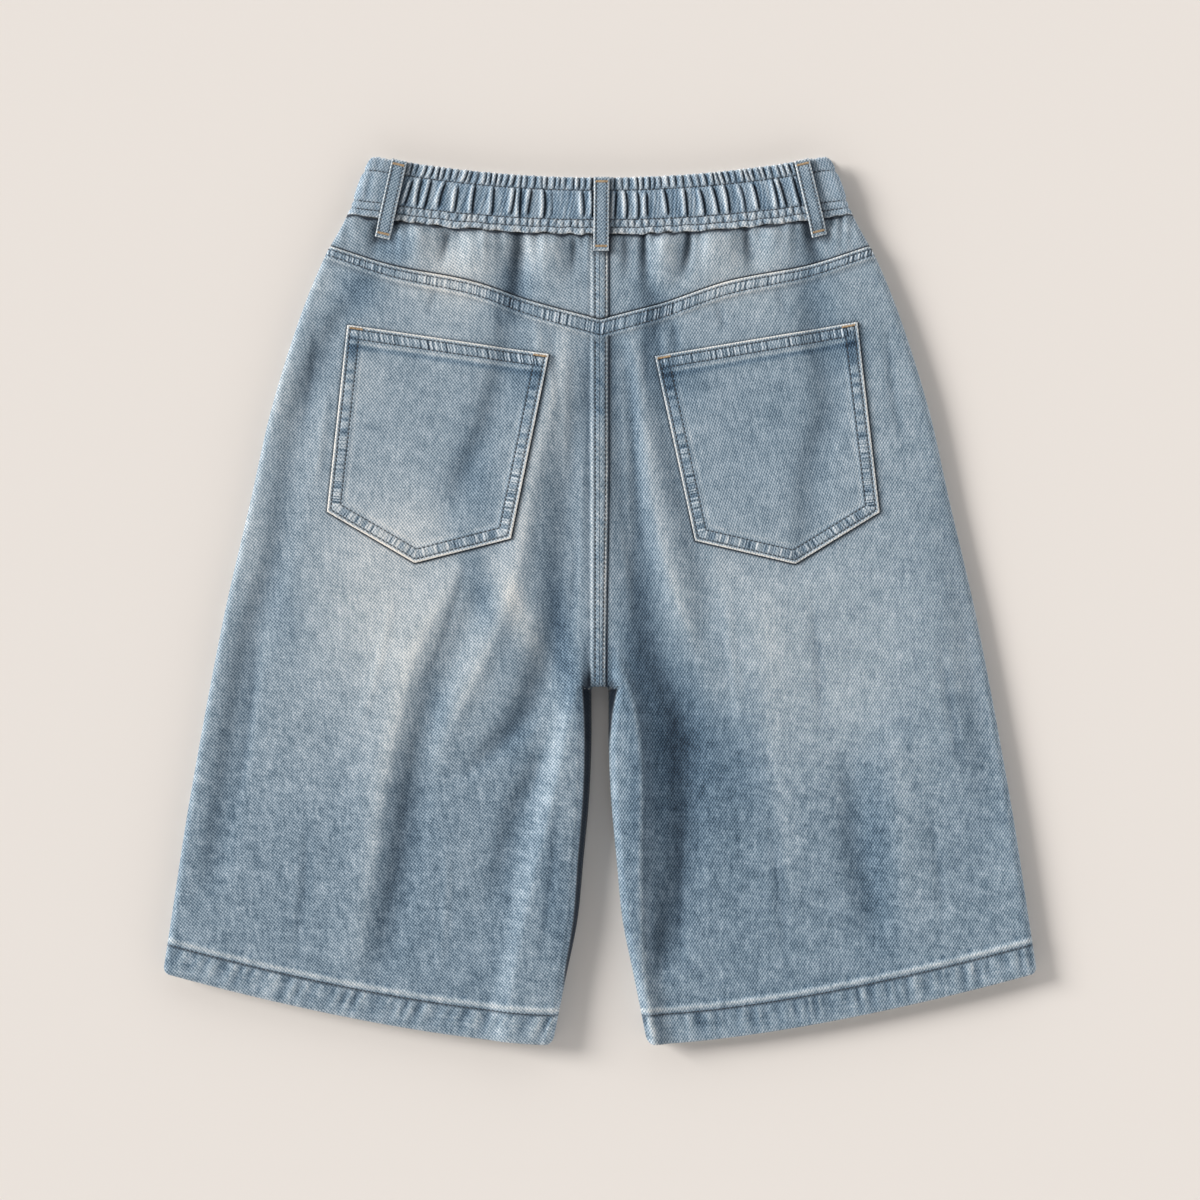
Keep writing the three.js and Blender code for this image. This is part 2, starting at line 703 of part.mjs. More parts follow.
// The origin is under the middle of the whole garment, on the surface
const box = new THREE.Box3().setFromObject(shorts);
shorts.position.set(-(box.min.x + box.max.x) / 2, -(box.min.y + box.max.y) / 2, -box.min.z);
shorts.updateMatrixWorld(true);

export default shorts;
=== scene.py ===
"""Wide-leg denim shorts, laid flat with the back side up.

The cloth, its seams, folds, stitching and wash, with painted light and shade on it. Sizes are millimetres in
the shorts' own drawing:
x = 0 on the centre seam, y up from the hems, z up from the surface. The last step to the frame
scales them to metres and moves y = DRAWING_MID to zero.
"""
import math

import bpy
import numpy as np
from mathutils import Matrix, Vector


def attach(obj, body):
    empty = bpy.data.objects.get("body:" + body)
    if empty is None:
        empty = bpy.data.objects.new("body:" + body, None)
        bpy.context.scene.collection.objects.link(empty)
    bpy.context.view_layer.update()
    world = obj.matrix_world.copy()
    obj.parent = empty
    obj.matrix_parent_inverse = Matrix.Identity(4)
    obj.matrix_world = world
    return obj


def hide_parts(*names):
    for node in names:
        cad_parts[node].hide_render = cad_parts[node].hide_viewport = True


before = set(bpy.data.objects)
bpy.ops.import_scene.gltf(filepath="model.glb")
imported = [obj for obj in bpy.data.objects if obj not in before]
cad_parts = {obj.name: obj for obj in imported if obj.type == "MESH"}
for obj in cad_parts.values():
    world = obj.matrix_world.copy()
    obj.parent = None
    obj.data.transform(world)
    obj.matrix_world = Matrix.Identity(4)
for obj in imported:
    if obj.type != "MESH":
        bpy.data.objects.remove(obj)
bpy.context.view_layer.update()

MM = 0.001
DRAWING_MID = 320.1

# Cloth and how it lies
CLOTH = 1.3
SEAM_GAP = 0.3
SEAM_LEVEL = 5.0
LAID_TOP = 12.0
EDGE_DEPTH = 5.5
LIP_DEPTH = 1.6

# Waistband
BAND_WALL = 3.2
BAND_TOP = 13.0
BAND_HALF = 174.0
TOP_EDGE = {"centre": 624.2, "rise": 14.4, "half": 158.0}
WAIST_SEAM = {"centre": 583.0, "rise": 14.8, "half": 181.5}

# Seams and hems
FELL_RISE = 0.9
YOKE_FELL = {"side": 10.0, "centre": 14.0}
HEM = {
    "width": 25.0, "rise": 0.5, "wall": 2.4,
    "low": 1.2, "climb": 51.4, "from": 34.0, "to": 314.6, "power": 1.5,
}

# Half width of the laid outline: y, x
SIDE = [
    (639, 166), (622, 173.5), (598, 181.8), (565, 199.4), (522, 216.7), (457, 236.9),
    (392, 251.6), (306, 271.4), (176, 295.6), (90, 308.9), (52.6, 314.6),
]

# Inside leg edge from the crotch down: y, x
CROTCH = 257.8
INNER_LEG = [
    (257.8, 6.1), (240, 6.1), (214, 6.2), (176.4, 7.9), (133.2, 11.9), (90, 16.2), (46.8, 24.9), (1.2, 34),
]

# How far the back layer sits in from the front one there: y, left leg, right leg
SHELF = [
    (257.8, 6, 6), (240, 5, 2.4), (222, 4.5, 0.7), (205, 4.2, 0),
    (120, 3.2, 0), (60, 1.5, 0), (34, 0, 0), (0, 0, 0),
]
# Painted shade on the low strip of the back layer along the inside legs
SHELF_SHADE = 0.94

# Painted shade in a wedge on each side above the crotch: its two soft sides, how it fades upward, strength
NOTCHES = [
    ((-13.8, -12), (-6.2, -7.4), (17, 3), 0.8), ((12, 10.5), (6.4, 7.4), (7.5, 2), 0.64),
]

# Seam between the yoke and the back panels: x, y
YOKE_SEAM = [(0, 522), (47, 534.5), (92, 549.5), (150, 561), (194.5, 575)]

# Folds of the back layer: reach to the left and right of each, and the line that it follows down the cloth
FOLDS = [
    {
        "left": 9, "right": 12,
        "y": [560, 513, 479, 440, 354, 297, 220, 133, 99],
        "x": [-161, -194, -209, -221, -235, -252, -266, -279, -286],
        "height": [0, -2.2, -3, -2.2, -2.4, -3, -2.8, -2, 0],
    },
    {
        "left": 9, "right": 14,
        "y": [354, 306, 253, 191, 133, 76, 43],
        "x": [-70, -99, -122, -137, -146, -156, -160],
        "height": [0, -1.8, -2.6, -3.6, -3.7, -2.4, 0],
    },
    {
        "left": 13, "right": 11,
        "y": [500, 469, 421, 364, 297, 239, 216, 187],
        "x": [-7, -12, -24, -29, -36, -55, -74, -104],
        "height": [0, -1.8, -2.4, -3, -3.6, -3.7, -2.8, 0],
    },
    {
        "left": 9, "right": 12,
        "y": [223, 205, 171, 133, 90],
        "x": [-40, -43, -60, -70, -79],
        "height": [0, -1.6, -2.4, -1.8, 0],
    },
    {
        "left": 10, "right": 12,
        "y": [580, 549, 498, 445, 412, 371],
        "x": [-61, -60, -70, -84, -99, -112],
        "height": [0, -2, -2.2, -2.4, -2.2, 0],
    },
    {
        "left": 11, "right": 15,
        "y": [536, 493, 445, 383, 325, 277, 239, 191, 133, 76, 43],
        "x": [9, 12, 14, 19, 27, 36, 52, 56, 54, 45, 40],
        "height": [0, -2, -2.4, -2.8, -3.2, -3.7, -3.9, -3.9, -3.9, -3.4, 0],
    },
    {
        "left": 8, "right": 11,
        "y": [580, 531, 493, 450, 412, 364, 315, 263],
        "x": [43, 43, 38, 45, 53, 65, 74, 74],
        "height": [0, -2.1, -2.4, -2.2, -2.4, -2.2, -1.6, 0],
    },
    {
        "left": 11, "right": 14,
        "y": [585, 527, 459, 421, 364, 328],
        "x": [144, 151, 161, 151, 146, 144],
        "height": [0, -2.2, -2.4, -2.4, -1.8, 0],
    },
    {
        "left": 11, "right": 14,
        "y": [220, 191, 143, 95, 61],
        "x": [176, 178, 182, 192, 200],
        "height": [0, -1.8, -2.4, -2, 0],
    },
    {
        "left": 15, "right": 15,
        "y": [470, 380, 296, 210, 120],
        "x": [232, 250, 262, 272, 282],
        "height": [0, -1.6, -2, -1.8, 0],
    },
    {
        "left": 14, "right": 9,
        "y": [536, 486, 441, 383, 328, 277, 230, 184],
        "x": [-18, -29, -41, -53, -63, -84, -108, -122],
        "height": [0, 1.8, 2.4, 2.6, 2.4, 2, 1.6, 0],
    },
    {
        "left": 8, "right": 12,
        "y": [529, 493, 436, 383, 325, 284, 248],
        "x": [18, 27, 34, 41, 55, 70, 83],
        "height": [0, 2, 2.4, 2.2, 2, 1.2, 0],
    },
    {
        "left": 20, "right": 9,
        "y": [372, 338, 287, 234, 191, 133, 68, 32],
        "x": [-95, -104, -132, -146, -156, -164, -173, -176],
        "height": [0, 1.2, 1.8, 2.2, 2.4, 2, 1, 0],
    },
    {
        "left": 24, "right": 24,
        "y": [349, 292, 220, 133, 76],
        "x": [115, 122, 126, 137, 144],
        "height": [0, 1.4, 1.6, 1.2, 0],
    },
    {
        "left": 20, "right": 18,
        "y": [248, 176, 119, 68],
        "x": [209, 216, 220, 223],
        "height": [0, 1.6, 1.4, 0],
    },
]

# Tall folds along the inside legs: y, crest on the left leg, crest on the right leg, height
PUFF = [
    (300, -14, 9, 0), (281, -14, 12, 1.5), (262, -15, 19, 5), (240, -19, 25, 7.5), (202, -27, 29.5, 8.5),
    (162, -36, 29.5, 8), (114, -47, 29, 6.5), (61, -58, 31, 5.3), (32, -63, 35, 5), (0, -67, 41, 5),
]
PUFF_SHAPE = {"left": 10.0, "right": 6.0, "slope": 0.3, "notch_from": 8.0, "notch_to": 13.0}

# Gathers that fan out below the waist seam: x, lean, length, width, height
GATHERS = [
    (-158, -8, 34, 8, -0.9), (-128, -8, 40, 9, 1.1), (-108, -6, 30, 7, -1), (-84, -5, 44, 9, 1.2),
    (-58, -6, 62, 10, -1.5), (-36, -3, 42, 8, 1.1), (-18, -2, 36, 6, -1), (17, 3, 36, 6, -0.9),
    (31, 5, 58, 8, -1.3), (48, -3, 46, 9, 1.5), (64, -8, 44, 8, -1.4), (84, 4, 36, 8, 1.1),
    (104, 6, 40, 8, -1), (126, 8, 36, 8, 1.1), (148, 12, 46, 9, -1.2),
]

YOKE_PUFF = {"gain": 2.7, "valley": 0.4}

# Short creases of the back panels: top x, top y, low x, low y, bow, width, height
SMALL_CREASES = [
    (-10, 506, -10, 318, 1, 2.6, -0.9), (13, 506, 22, 332, 2, 3.2, 0.9),
    (22, 500, 30, 350, -1, 2.6, -0.7), (52, 521, 56, 497, 0, 2.4, -1.1),
    (45, 518, 49, 478, 1, 2.6, 0.9), (33, 512, 34, 470, 0, 2.6, -0.7),
    (-36, 518, -31, 462, 1, 2.6, -0.8), (-46, 522, -42, 486, 0, 2.8, 0.8),
    (-74, 531, -70, 512, 0, 2.6, -0.8), (84, 535, 90, 514, 0, 2.6, -0.8),
    (-22, 500, -24, 400, -2, 3.0, 0.7), (-17, 380, -24, 290, 2, 2.8, -0.7),
    (14, 380, 22, 300, 1, 2.8, 0.8), (-118, 548, -122, 524, 0, 2.8, -0.6),
    (128, 545, 134, 524, 0, 2.8, -0.6), (-204, 530, -214, 440, 2, 3.0, -0.8),
    (-196, 470, -206, 400, 1, 3.2, 0.7), (206, 520, 218, 430, -2, 3.0, -0.8),
    (-150, 330, -176, 220, 4, 3.4, 0.6), (-96, 350, -132, 250, 4, 3.0, -0.8),
    (92, 330, 104, 230, -3, 3.2, 0.6), (150, 330, 158, 220, 3, 3.4, -0.7),
    (-246, 300, -262, 170, 2, 3.2, -0.8), (244, 300, 262, 190, -2, 3.2, -0.7),
    (-30, 180, -44, 60, 2, 3.0, -0.7), (60, 170, 58, 50, -2, 3.0, -0.8),
    (120, 170, 132, 60, 2, 3.4, -0.7), (-210, 160, -220, 60, 2, 3.4, -0.7),
    (-110, 150, -116, 50, 2, 3.2, 0.6), (236, 170, 246, 80, 2, 3.2, -0.6),
]

# Short creases: how they fade at their ends, tone by their height that paints light on crests and shade in
# troughs, and more painted shade in the troughs
CREASE_LOOK = {"fade": 0.7, "tone": 0.09, "shade": 0.2}

# Patch pockets: corners in the order of a five-sided patch
POCKET_GAP = 0.35
POCKETS = {
    "pocket_left": {
        "top_out": (-181.4, 518), "top_in": (-36.7, 496.8), "low_in": (-64, 364.5),
        "tip": (-133, 347), "low_out": (-196, 383.8),
    },
    "pocket_right": {
        "top_out": (184.7, 520), "top_in": (39.5, 495.5), "low_in": (68.4, 363),
        "tip": (140.3, 346.3), "low_out": (200.7, 383.4),
    },
}

# Belt loops: middle of the top end and of the bottom end
LOOP = {"width": 11.0, "wall": 1.8, "gap": 0.35}
LOOPS = {
    "belt_loop_left": ((-143.7, 636), (-156.3, 580.3)),
    "belt_loop_centre": ((1.2, 624), (0.7, 571)),
    "belt_loop_right": ((144.6, 636.3), (157.7, 581.8)),
}

# Rows lean down to the centre, as the hem and the yoke seam do
ROW_LEAN = 50.0
REST_REACH = 3.0

# Distances in from a curled edge for the grid, and the grid's steps
EDGE_STEPS = [0, 0.2, 0.5, 0.95, 1.6, 2.4, 3.4, 4.6, 6.5]
PANEL_STEP = 2.3
SEAM_STEP = 1.0

# Waistband channels, up from the waist seam in shares of the band's height
BAND_ROWS = {"lip": 0.115, "strip": 0.25, "tunnel": 0.765}
BAND_HEIGHT = 41.0
BAND_ENDS = {"from": 158.0, "to": 147.0, "pinch": 1.3, "corner": 2.6}
LOW_EDGE_WAVE = {"height": 0.8, "pitch": 17.0}
SCALLOPS = {"height": 0.7, "middle": 0.6}

# Pleats of the wide middle channel, with painted highlight on their ridges: x, strength, as they lie along it
PLEATS = [
    (-139, 1), (-131.3, 0.9), (-125.3, 1), (-114.9, 1), (-104.4, 0.9), (-92.2, 1), (-78.7, 0.9),
    (-64.5, 0.9), (-58.8, 1), (-52.3, 1), (-42, 1), (-36.4, 0.3), (-13.8, 0.8), (-7.2, 1),
    (9.4, 0.9), (16.8, 1), (25.2, 0.9), (32, 1), (45.8, 1), (59.9, 1), (71.5, 1), (81.4, 1),
    (89.5, 1), (100.4, 0.7), (110.1, 1), (124.2, 0.8), (129.3, 1), (139.6, 0.9),
]

# Wash, and painted light and shade over the folds and curled edges: soft patches on the back, x, y, half
# width, half height, lean in degrees, change of tone
BASE_TONE = 0.575
WASH_AND_PAINTED_LIGHT = [
    (-150, 318, 62, 92, 10, 0.13), (-166, 322, 34, 60, 8, 0.05),
    (-130, 372, 40, 24, 10, 0.08), (140, 310, 66, 80, -10, 0.06),
    (190, 250, 40, 60, -12, 0.05), (-98, 555, 32, 34, 0, 0.15),
    (-146, 574, 16, 12, 0, -0.14), (-175, 543, 18, 16, 0, -0.12),
    (-50, 572, 14, 12, 0, 0.06), (108, 560, 38, 30, 0, 0.1),
    (-65, 541, 14, 20, -12, -0.16), (37, 520, 13, 42, 10, -0.12),
    (155, 543, 16, 34, 14, -0.1), (-168, 478, 18, 18, 0, 0.06),
    (-52, 470, 12, 26, 0, -0.1), (-88, 398, 16, 44, 8, -0.13),
    (-58, 312, 9, 46, 24, 0.18), (-88, 330, 9, 60, 20, -0.12),
    (-29, 300, 8, 50, 10, -0.16), (-115, 240, 12, 26, 12, -0.12),
    (-60, 222, 13, 20, 0, -0.12), (-92, 128, 18, 40, 0, 0.08),
    (-29, 460, 10, 70, 2, 0.06), (30, 470, 10, 40, 0, -0.06),
    (28, 315, 13, 58, -4, -0.13), (64, 214, 48, 56, -18, -0.19),
    (108, 196, 22, 26, 0, -0.07), (202, 140, 18, 90, 0, -0.11),
    (86, 340, 16, 20, 0, 0.08), (27, 150, 11, 110, -3, -0.1),
    (-31, 108, 11, 44, 8, -0.1), (-230, 312, 14, 44, 8, -0.12),
    (-234, 488, 13, 56, 12, 0.12), (0, 482, 9, 36, 0, -0.12),
    (-128, 546, 26, 10, -8, 0.08), (-205, 548, 14, 12, 0, 0.1),
    (126, 575, 14, 14, 0, -0.08), (86, 544, 12, 12, 0, 0.08),
    (140, 30, 60, 16, 8, -0.05), (250, 230, 20, 40, 0, -0.05),
    (58, 478, 20, 24, 0, -0.12), (176, 498, 20, 18, 0, -0.12),
    (24, 440, 13, 80, 8, -0.05), (46, 240, 22, 52, 4, -0.1),
    (10, 262, 30, 34, 0, -0.12), (-20, 262, 18, 40, 0, -0.1),
    (-252, 370, 16, 120, 14, 0.08), (262, 300, 18, 90, -12, 0.06),
    (-80, 120, 70, 90, 0, -0.06), (90, 120, 80, 90, 0, -0.06),
    (122, 440, 50, 60, 0, -0.06), (-144, 572, 12, 14, 0, -0.08),
    (-115, 560, 12, 22, 0, 0.06), (-86, 572, 11, 12, 0, -0.07),
    (-58, 574, 11, 10, 0, 0.07), (-173, 544, 12, 14, 0, -0.06),
    (-58, 486, 10, 16, 0, -0.06), (0, 515, 8, 14, 0, -0.07),
    (-58, 371, 11, 14, 0, 0.05), (86, 256, 13, 14, 0, 0.06),
    (216, 227, 18, 14, 0, -0.06),
]
LOW_LEG = {"from": 235.0, "to": 150.0, "tone": -0.06}

# How much paler the cloth is on a crest than in a trough, for each millimetre, and along the crests: partly
# wear, partly painted light and shade
FOLD_WEAR_AND_PAINTED_LIGHT = 0.025
CREST_WEAR_AND_HIGHLIGHT = 0.035
CREST = {"share": 0.35, "width": 1.5, "left": 0.12, "right": 0.6}
# Painted shade in the troughs of the folds, and behind the right leg's tall crest
VALLEY = {"shade": 0.125, "from": 0.6, "off_edge": 12.0}
BEHIND_CREST = {"shade": 0.3, "full": 8.0, "near": (-0.3, 1.2), "far": (17, 3)}

# Denim from deep indigo to worn white: tone, red, green, blue
DENIM_RAMP = [
    (0.0, 17, 31, 43), (0.2, 54, 75, 92), (0.4, 97, 117, 133),
    (0.6, 140, 157, 170), (0.8, 182, 193, 203), (1.0, 223, 229, 234),
]
# Colour that painted shade and the dark of the seams' bars darken the cloth toward, and the most painted
# shade that a point takes
DEEP_SHADE = (22, 31, 44)
DARKEST = 0.95

# Marbling of the wash: its strength on the seat, the low legs, the waistband and the belt loops
MARBLE = {"seat": 0.62, "low_leg": 1.0, "from": 290.0, "to": 170.0, "band": 0.5, "loop": 0.3}

# Twill: change of tone of its two sets of ribs, how far they waver, and the second set's own turn
TWILL = {"warp": 0.28, "weft": 0.2, "waver": 0.9, "weft_turn": -8}
ONE_RIB_A_UNIT = 0.3142

# Grain of the cloth: size across and along, turn, detail, roughness, distortion, change of tone
GRAIN = {
    "fleck": (1.1, 1.3, 0, 2.0, 0.7, 0.0, 0.6),
    "slub": (2.0, 15.0, 0, 3.0, 0.55, 0.0, 0.36),
    "cloud": (7.0, 9.0, 0, 4.0, 0.62, 0.6, 0.5),
    "crinkle": (17.0, 4.5, 12, 3.0, 0.6, 0.8, 0.34),
    "drift": (34.0, 46.0, 0, 2.0, 0.55, 0.0, 0.16),
}
MARBLED = ("cloud", "crinkle")
BUMP = {"strength": 0.6, "depth": 0.35, "rib": 0.5, "fleck": 0.8}
LINING = {"tone": 0.78, "colour": (206, 208, 206), "cover": 0.5}
DENIM_FINISH = {"Roughness": 0.92, "Specular IOR Level": 0.2, "Sheen Weight": 0.12, "Sheen Roughness": 0.6}

# How much warmer the paler wash is, and the bars of dark and pale along the felled seams
WEAR_WARMTH = 0.28
BAR_PITCH = 3.6
BAR_TONE = 2.6
BAR_SHADE = 0.9

# Painted shadow line on the cloth along the pockets' edges
SHADOW_ALONG_POCKETS = {"from": 0.3, "width": 2.3, "right": 0.95, "left": 0.7, "above": 0.5}

STITCH = {"pitch": 3.1, "length": 2.35, "thick": 0.65}
TACK = {"pitch": 0.62, "thick": 0.5, "lean": 0.45}
THREAD_FINISH = {"Roughness": 0.7, "Specular IOR Level": 0.25}
STRANDS = 900
LOOP_TACK = {"in": 3.4, "length": 8.0, "height": 1.8, "proud": 0.25}
POCKET_TACK = {"in": 6.5, "down": 1.9, "length": 9.0, "height": 1.5, "proud": 0.2}

# Photograph's view: straight down, 864 mm of the surface across the frame
VIEW = {"height": 2406.0, "lens": 100.0, "sensor": 36.0, "middle_y": 0.3}
SUN = {"along": (17.3, -5.8, -8.5), "strength": 3.35, "spread": 22.0, "colour": (1.0, 0.985, 0.96)}
SKY = {"level": 0.57, "falloff": 2.2, "side": -0.08}
FLOOR = {"tone": (232, 225, 219), "size": 6, "level": -0.0002}
FLOOR_FINISH = {"Roughness": 0.95, "Specular IOR Level": 0.1}


def read_table(rows, at, column=1):
    """Smooth curve through the rows of a table, straight on beyond its ends."""
    ordered = np.array(sorted(rows), float)
    keys, values = ordered[:, 0], ordered[:, column]
    at = np.asarray(at, float)
    i = np.clip(np.searchsorted(keys, at) - 1, 0, len(keys) - 2)
    low = np.maximum(i - 1, 0)
    high = np.minimum(i + 2, len(keys) - 1)
    span = keys[i + 1] - keys[i]
    start = (values[i + 1] - values[low]) / (keys[i + 1] - keys[low])
    end = (values[high] - values[i]) / (keys[high] - keys[i])
    t = (at - keys[i]) / span
    s = np.clip(t, 0, 1)
    curve = values[i] + (values[i + 1] - values[i]) * s * s * (3 - 2 * s)
    curve += span * (start * s * (1 - s) ** 2 - end * s * s * (1 - s))
    return curve + span * (np.minimum(t, 0) * start + np.maximum(t - 1, 0) * end)


def side_x(y):
    return read_table(SIDE, y)


def inner_leg_x(y):
    return read_table(INNER_LEG, y)


def shelf_width(x, y):
    return np.clip(np.where(x < 0, read_table(SHELF, y, 1), read_table(SHELF, y, 2)), 0, SHELF[0][1])


def yoke_seam_y(x):
    return read_table(YOKE_SEAM, np.abs(x))


def parabola(line, x):
    return line["centre"] + line["rise"] * (np.asarray(x) / line["half"]) ** 2


def waist_seam_y(x):
    return parabola(WAIST_SEAM, x)


def low_edge_wave(x):
    """How far the waistband's low edge rides up over the gathers."""
    return LOW_EDGE_WAVE["height"] * pucker(x, LOW_EDGE_WAVE["pitch"], 1.3)


def hem_y(x):
    t = np.clip((np.abs(x) - HEM["from"]) / (HEM["to"] - HEM["from"]), 0, 1.1)
    return HEM["low"] + HEM["climb"] * t ** HEM["power"]


def lerp(a, b, t):
    return a + (b - a) * t


def bell(away):
    return np.exp(-away * away)


def ease(low, high, value):
    t = np.clip((value - low) / (high - low), 0, 1)
    return t * t * (3 - 2 * t)


def plateau(place, width, soft):
    """One between 0 and width, with a soft step at both ends."""
    return ease(0, soft, place) * ease(0, soft, width - place)


def pucker(place, pitch, seed):
    """Uneven row of small swells along a seam: 1 on a crest, -1 in a dent."""
    turn = 2 * math.pi / pitch
    phase = turn * place + 1.4 * np.sin(turn * place / 3.3 + seed)
    phase = phase + 0.9 * np.sin(turn * place / 5.7 + 2.1 * seed)
    return np.sin(phase) * (0.7 + 0.3 * np.sin(turn * place / 4.1 + 3 * seed))


# Curled edges of the right half: the side, and the crotch with the inside leg
def sampled(y_from, y_to, count, x_at):
    y = np.linspace(y_from, y_to, count)
    return np.stack([x_at(y), y], 1)


SIDE_EDGE = sampled(30, 660, 90, side_x)
LEG_EDGE = np.vstack([[[0, CROTCH]], sampled(CROTCH, -20, 50, inner_leg_x)])


def nearest(edge, x, y):
    """Distance to an edge, and the way from it into the cloth."""
    a = edge[:-1]
    run = edge[1:] - a
    length = np.hypot(run[:, 0], run[:, 1])
    px, py = x[..., None] - a[:, 0], y[..., None] - a[:, 1]
    t = np.clip((px * run[:, 0] + py * run[:, 1]) / length ** 2, 0, 1)
    dx, dy = px - run[:, 0] * t, py - run[:, 1] * t
    away = np.hypot(dx, dy)
    k = away.argmin(-1)[..., None]
    away, dx, dy = (np.take_along_axis(v, k, -1)[..., 0] for v in (away, dx, dy))
    square = np.stack([-run[:, 1] / length, run[:, 0] / length], -1)[k[..., 0]]
    clear = away > 0.05
    safe = np.where(clear, away, 1)
    into = [np.where(clear, way / safe, square[..., k]) for k, way in enumerate((dx, dy))]
    return away, np.stack(into, -1)


def curled_edge(x, y):
    side_away, side_into = nearest(SIDE_EDGE, np.abs(x), y)
    leg_away, leg_into = nearest(LEG_EDGE, np.abs(x), y)
    on_side = side_away < leg_away
    shelf = np.where(on_side | (y >= CROTCH), 0, shelf_width(x, y))
    into = np.where(on_side[..., None], side_into, leg_into)
    into = into * np.stack([np.where(x < 0, -1, 1), np.ones_like(x)], -1)
    return np.where(on_side, side_away, leg_away), shelf, into


def rounding(distance, depth=EDGE_DEPTH):
    """Share of the full height at a distance in from a curled edge: a quarter ellipse."""
    return np.sqrt(1 - (1 - np.clip(distance / depth, 0, 1)) ** 2)


def line_height(lines, x, y, share=1.0):
    """Height of folds that each follow a line down the cloth, across a share of their reach."""
    z = np.zeros_like(x)
    for fold in lines:
        line = list(zip(fold["y"], fold["x"], fold["height"]))
        away = x - read_table(line, y)
        inside = (y < line[0][0]) & (y > line[-1][0])
        height = np.where(inside, read_table(line, y, column=2), 0)
        z += height * bell(away / np.where(away < 0, fold["left"], fold["right"]) / share)
    return z


def tall_fold(x, y):
    """Distance of the tall fold's crest from the centre line, and its height."""
    crest = np.abs(np.where(x < 0, read_table(PUFF, y, 1), read_table(PUFF, y, 2)))
    return crest, np.where(y < PUFF[0][0], read_table(PUFF, y, 3), 0)


def puff_height(x, y):
    """Tall folds along the inside legs: a flank up from the leg's edge, a crest, then a steep fall."""
    crest, height = tall_fold(x, y)
    beyond = np.abs(x) - crest
    reach = np.where(x < 0, PUFF_SHAPE["left"], PUFF_SHAPE["right"])
    edge = inner_leg_x(np.minimum(y, CROTCH))
    down_flank = np.clip(-beyond / np.maximum(crest - edge, 1), 0, 1)
    notch = ease(PUFF_SHAPE["notch_from"], PUFF_SHAPE["notch_to"], np.abs(x))
    notch = lerp(1, notch, ease(CROTCH - 6, CROTCH + 2, y))
    return height * bell(np.maximum(beyond, 0) / reach) * (1 - PUFF_SHAPE["slope"] * down_flank ** 2) * notch


def fold_height(x, y):
    return line_height(FOLDS, x, y) + puff_height(x, y)


def crest_wear_and_highlight(x, y):
    """Narrow pale line along the crests of the folds: partly wear, partly painted highlight."""
    crests = [fold for fold in FOLDS if max(fold["height"]) > 0]
    crest, tall = tall_fold(x, y)
    tall = tall * np.where(x < 0, CREST["left"], CREST["right"])
    return line_height(crests, x, y, CREST["share"]) + tall * bell((np.abs(x) - crest) / CREST["width"])


def gather_height(x, y, valley=1.0):
    """Height of the gathers below the waist seam, with a share of their width for the valleys."""
    z = np.zeros_like(x)
    below = waist_seam_y(x) - y
    for place, lean, length, width, height in GATHERS:
        t = np.clip(below / length, 0, 1)
        fade = np.cos(math.pi / 2 * t) * np.minimum(1, 0.4 + t * 3)
        spread = width * (1 + t) * (valley if height < 0 else 1)
        z += height * fade * bell((x - place - lean * t) / spread)
    return z


def laid_height(x, y):
    return LAID_TOP + fold_height(x, y) + gather_height(x, y)


def upper_wall(x, y, top, wall, relief):
    """Outer and inner faces of the upper layer."""
    away, shelf, into = curled_edge(x, y)
    start = SEAM_LEVEL + SEAM_GAP / 2
    swell = rounding(away - shelf)
    lip = rounding(away, LIP_DEPTH)
    inset = (wall * (1 - np.clip(away / (EDGE_DEPTH + shelf), 0, 1)))[..., None] * into
    outer = np.stack([x, y, start + CLOTH * lip + (top - CLOTH - start + relief) * swell], -1)
    inner = np.stack([x + inset[..., 0], y + inset[..., 1], start + (top - wall - start) * swell], -1)
    return outer, inner


def lower_wall(x, y, wall, relief):
    """Outer and inner faces of the layer on the surface."""
    away, _, into = curled_edge(x, y)
    end = SEAM_LEVEL - SEAM_GAP / 2
    swell = rounding(away)
    inset = (wall * (1 - np.clip(away / EDGE_DEPTH, 0, 1)))[..., None] * into
    outer = np.stack([x, y, end * (1 - swell) + relief * swell], -1)
    inner = np.stack([x + inset[..., 0], y + inset[..., 1], end - (end - wall) * swell], -1)
    return outer, inner


def soft_patches(rows, x, y):
    tone = np.zeros_like(x)
    for place_x, place_y, wide, high, lean, change in rows:
        c, s = math.cos(math.radians(lean)), math.sin(math.radians(lean))
        u = ((x - place_x) * c + (y - place_y) * s) / wide
        v = ((y - place_y) * c - (x - place_x) * s) / high
        tone += change * bell(np.hypot(u, v))
    return tone


def tone_of_wash_and_painted_light(x, y):
    """Tone of the cloth on the back before seams and creases: the wash, with painted light and shade in its
    patches and on the folds.
    """
    low = LOW_LEG["tone"] * ease(LOW_LEG["from"], LOW_LEG["to"], y)
    tone = BASE_TONE + low + soft_patches(WASH_AND_PAINTED_LIGHT, x, y)
    return tone + FOLD_WEAR_AND_PAINTED_LIGHT * np.minimum(fold_height(x, y), 2) + CREST_WEAR_AND_HIGHLIGHT * crest_wear_and_highlight(x, y)


def valley_shade(x, y):
    """Painted shade in the troughs of the folds, and behind the right leg's tall crest."""
    depth = np.maximum(0, -fold_height(x, y) - VALLEY["from"])
    troughs = VALLEY["shade"] * depth * ease(0, VALLEY["off_edge"], np.abs(x) - puff_edge(y))
    beyond = x - read_table(PUFF, y, 2)
    full = BEHIND_CREST["full"]
    tall = np.clip(read_table(PUFF, y, 3), 0, full) / full * (y < PUFF[0][0])
    behind = tall * ease(*BEHIND_CREST["near"], beyond) * ease(*BEHIND_CREST["far"], beyond)
    return troughs + BEHIND_CREST["shade"] * behind * (x > 0)


def puff_edge(y):
    return np.where(y < CROTCH, inner_leg_x(y), 0) - 6


def to_frame(points):
    """Drawing millimetres to metres in the frame."""
    return (np.asarray(points, float) - (0, DRAWING_MID, 0)) * MM


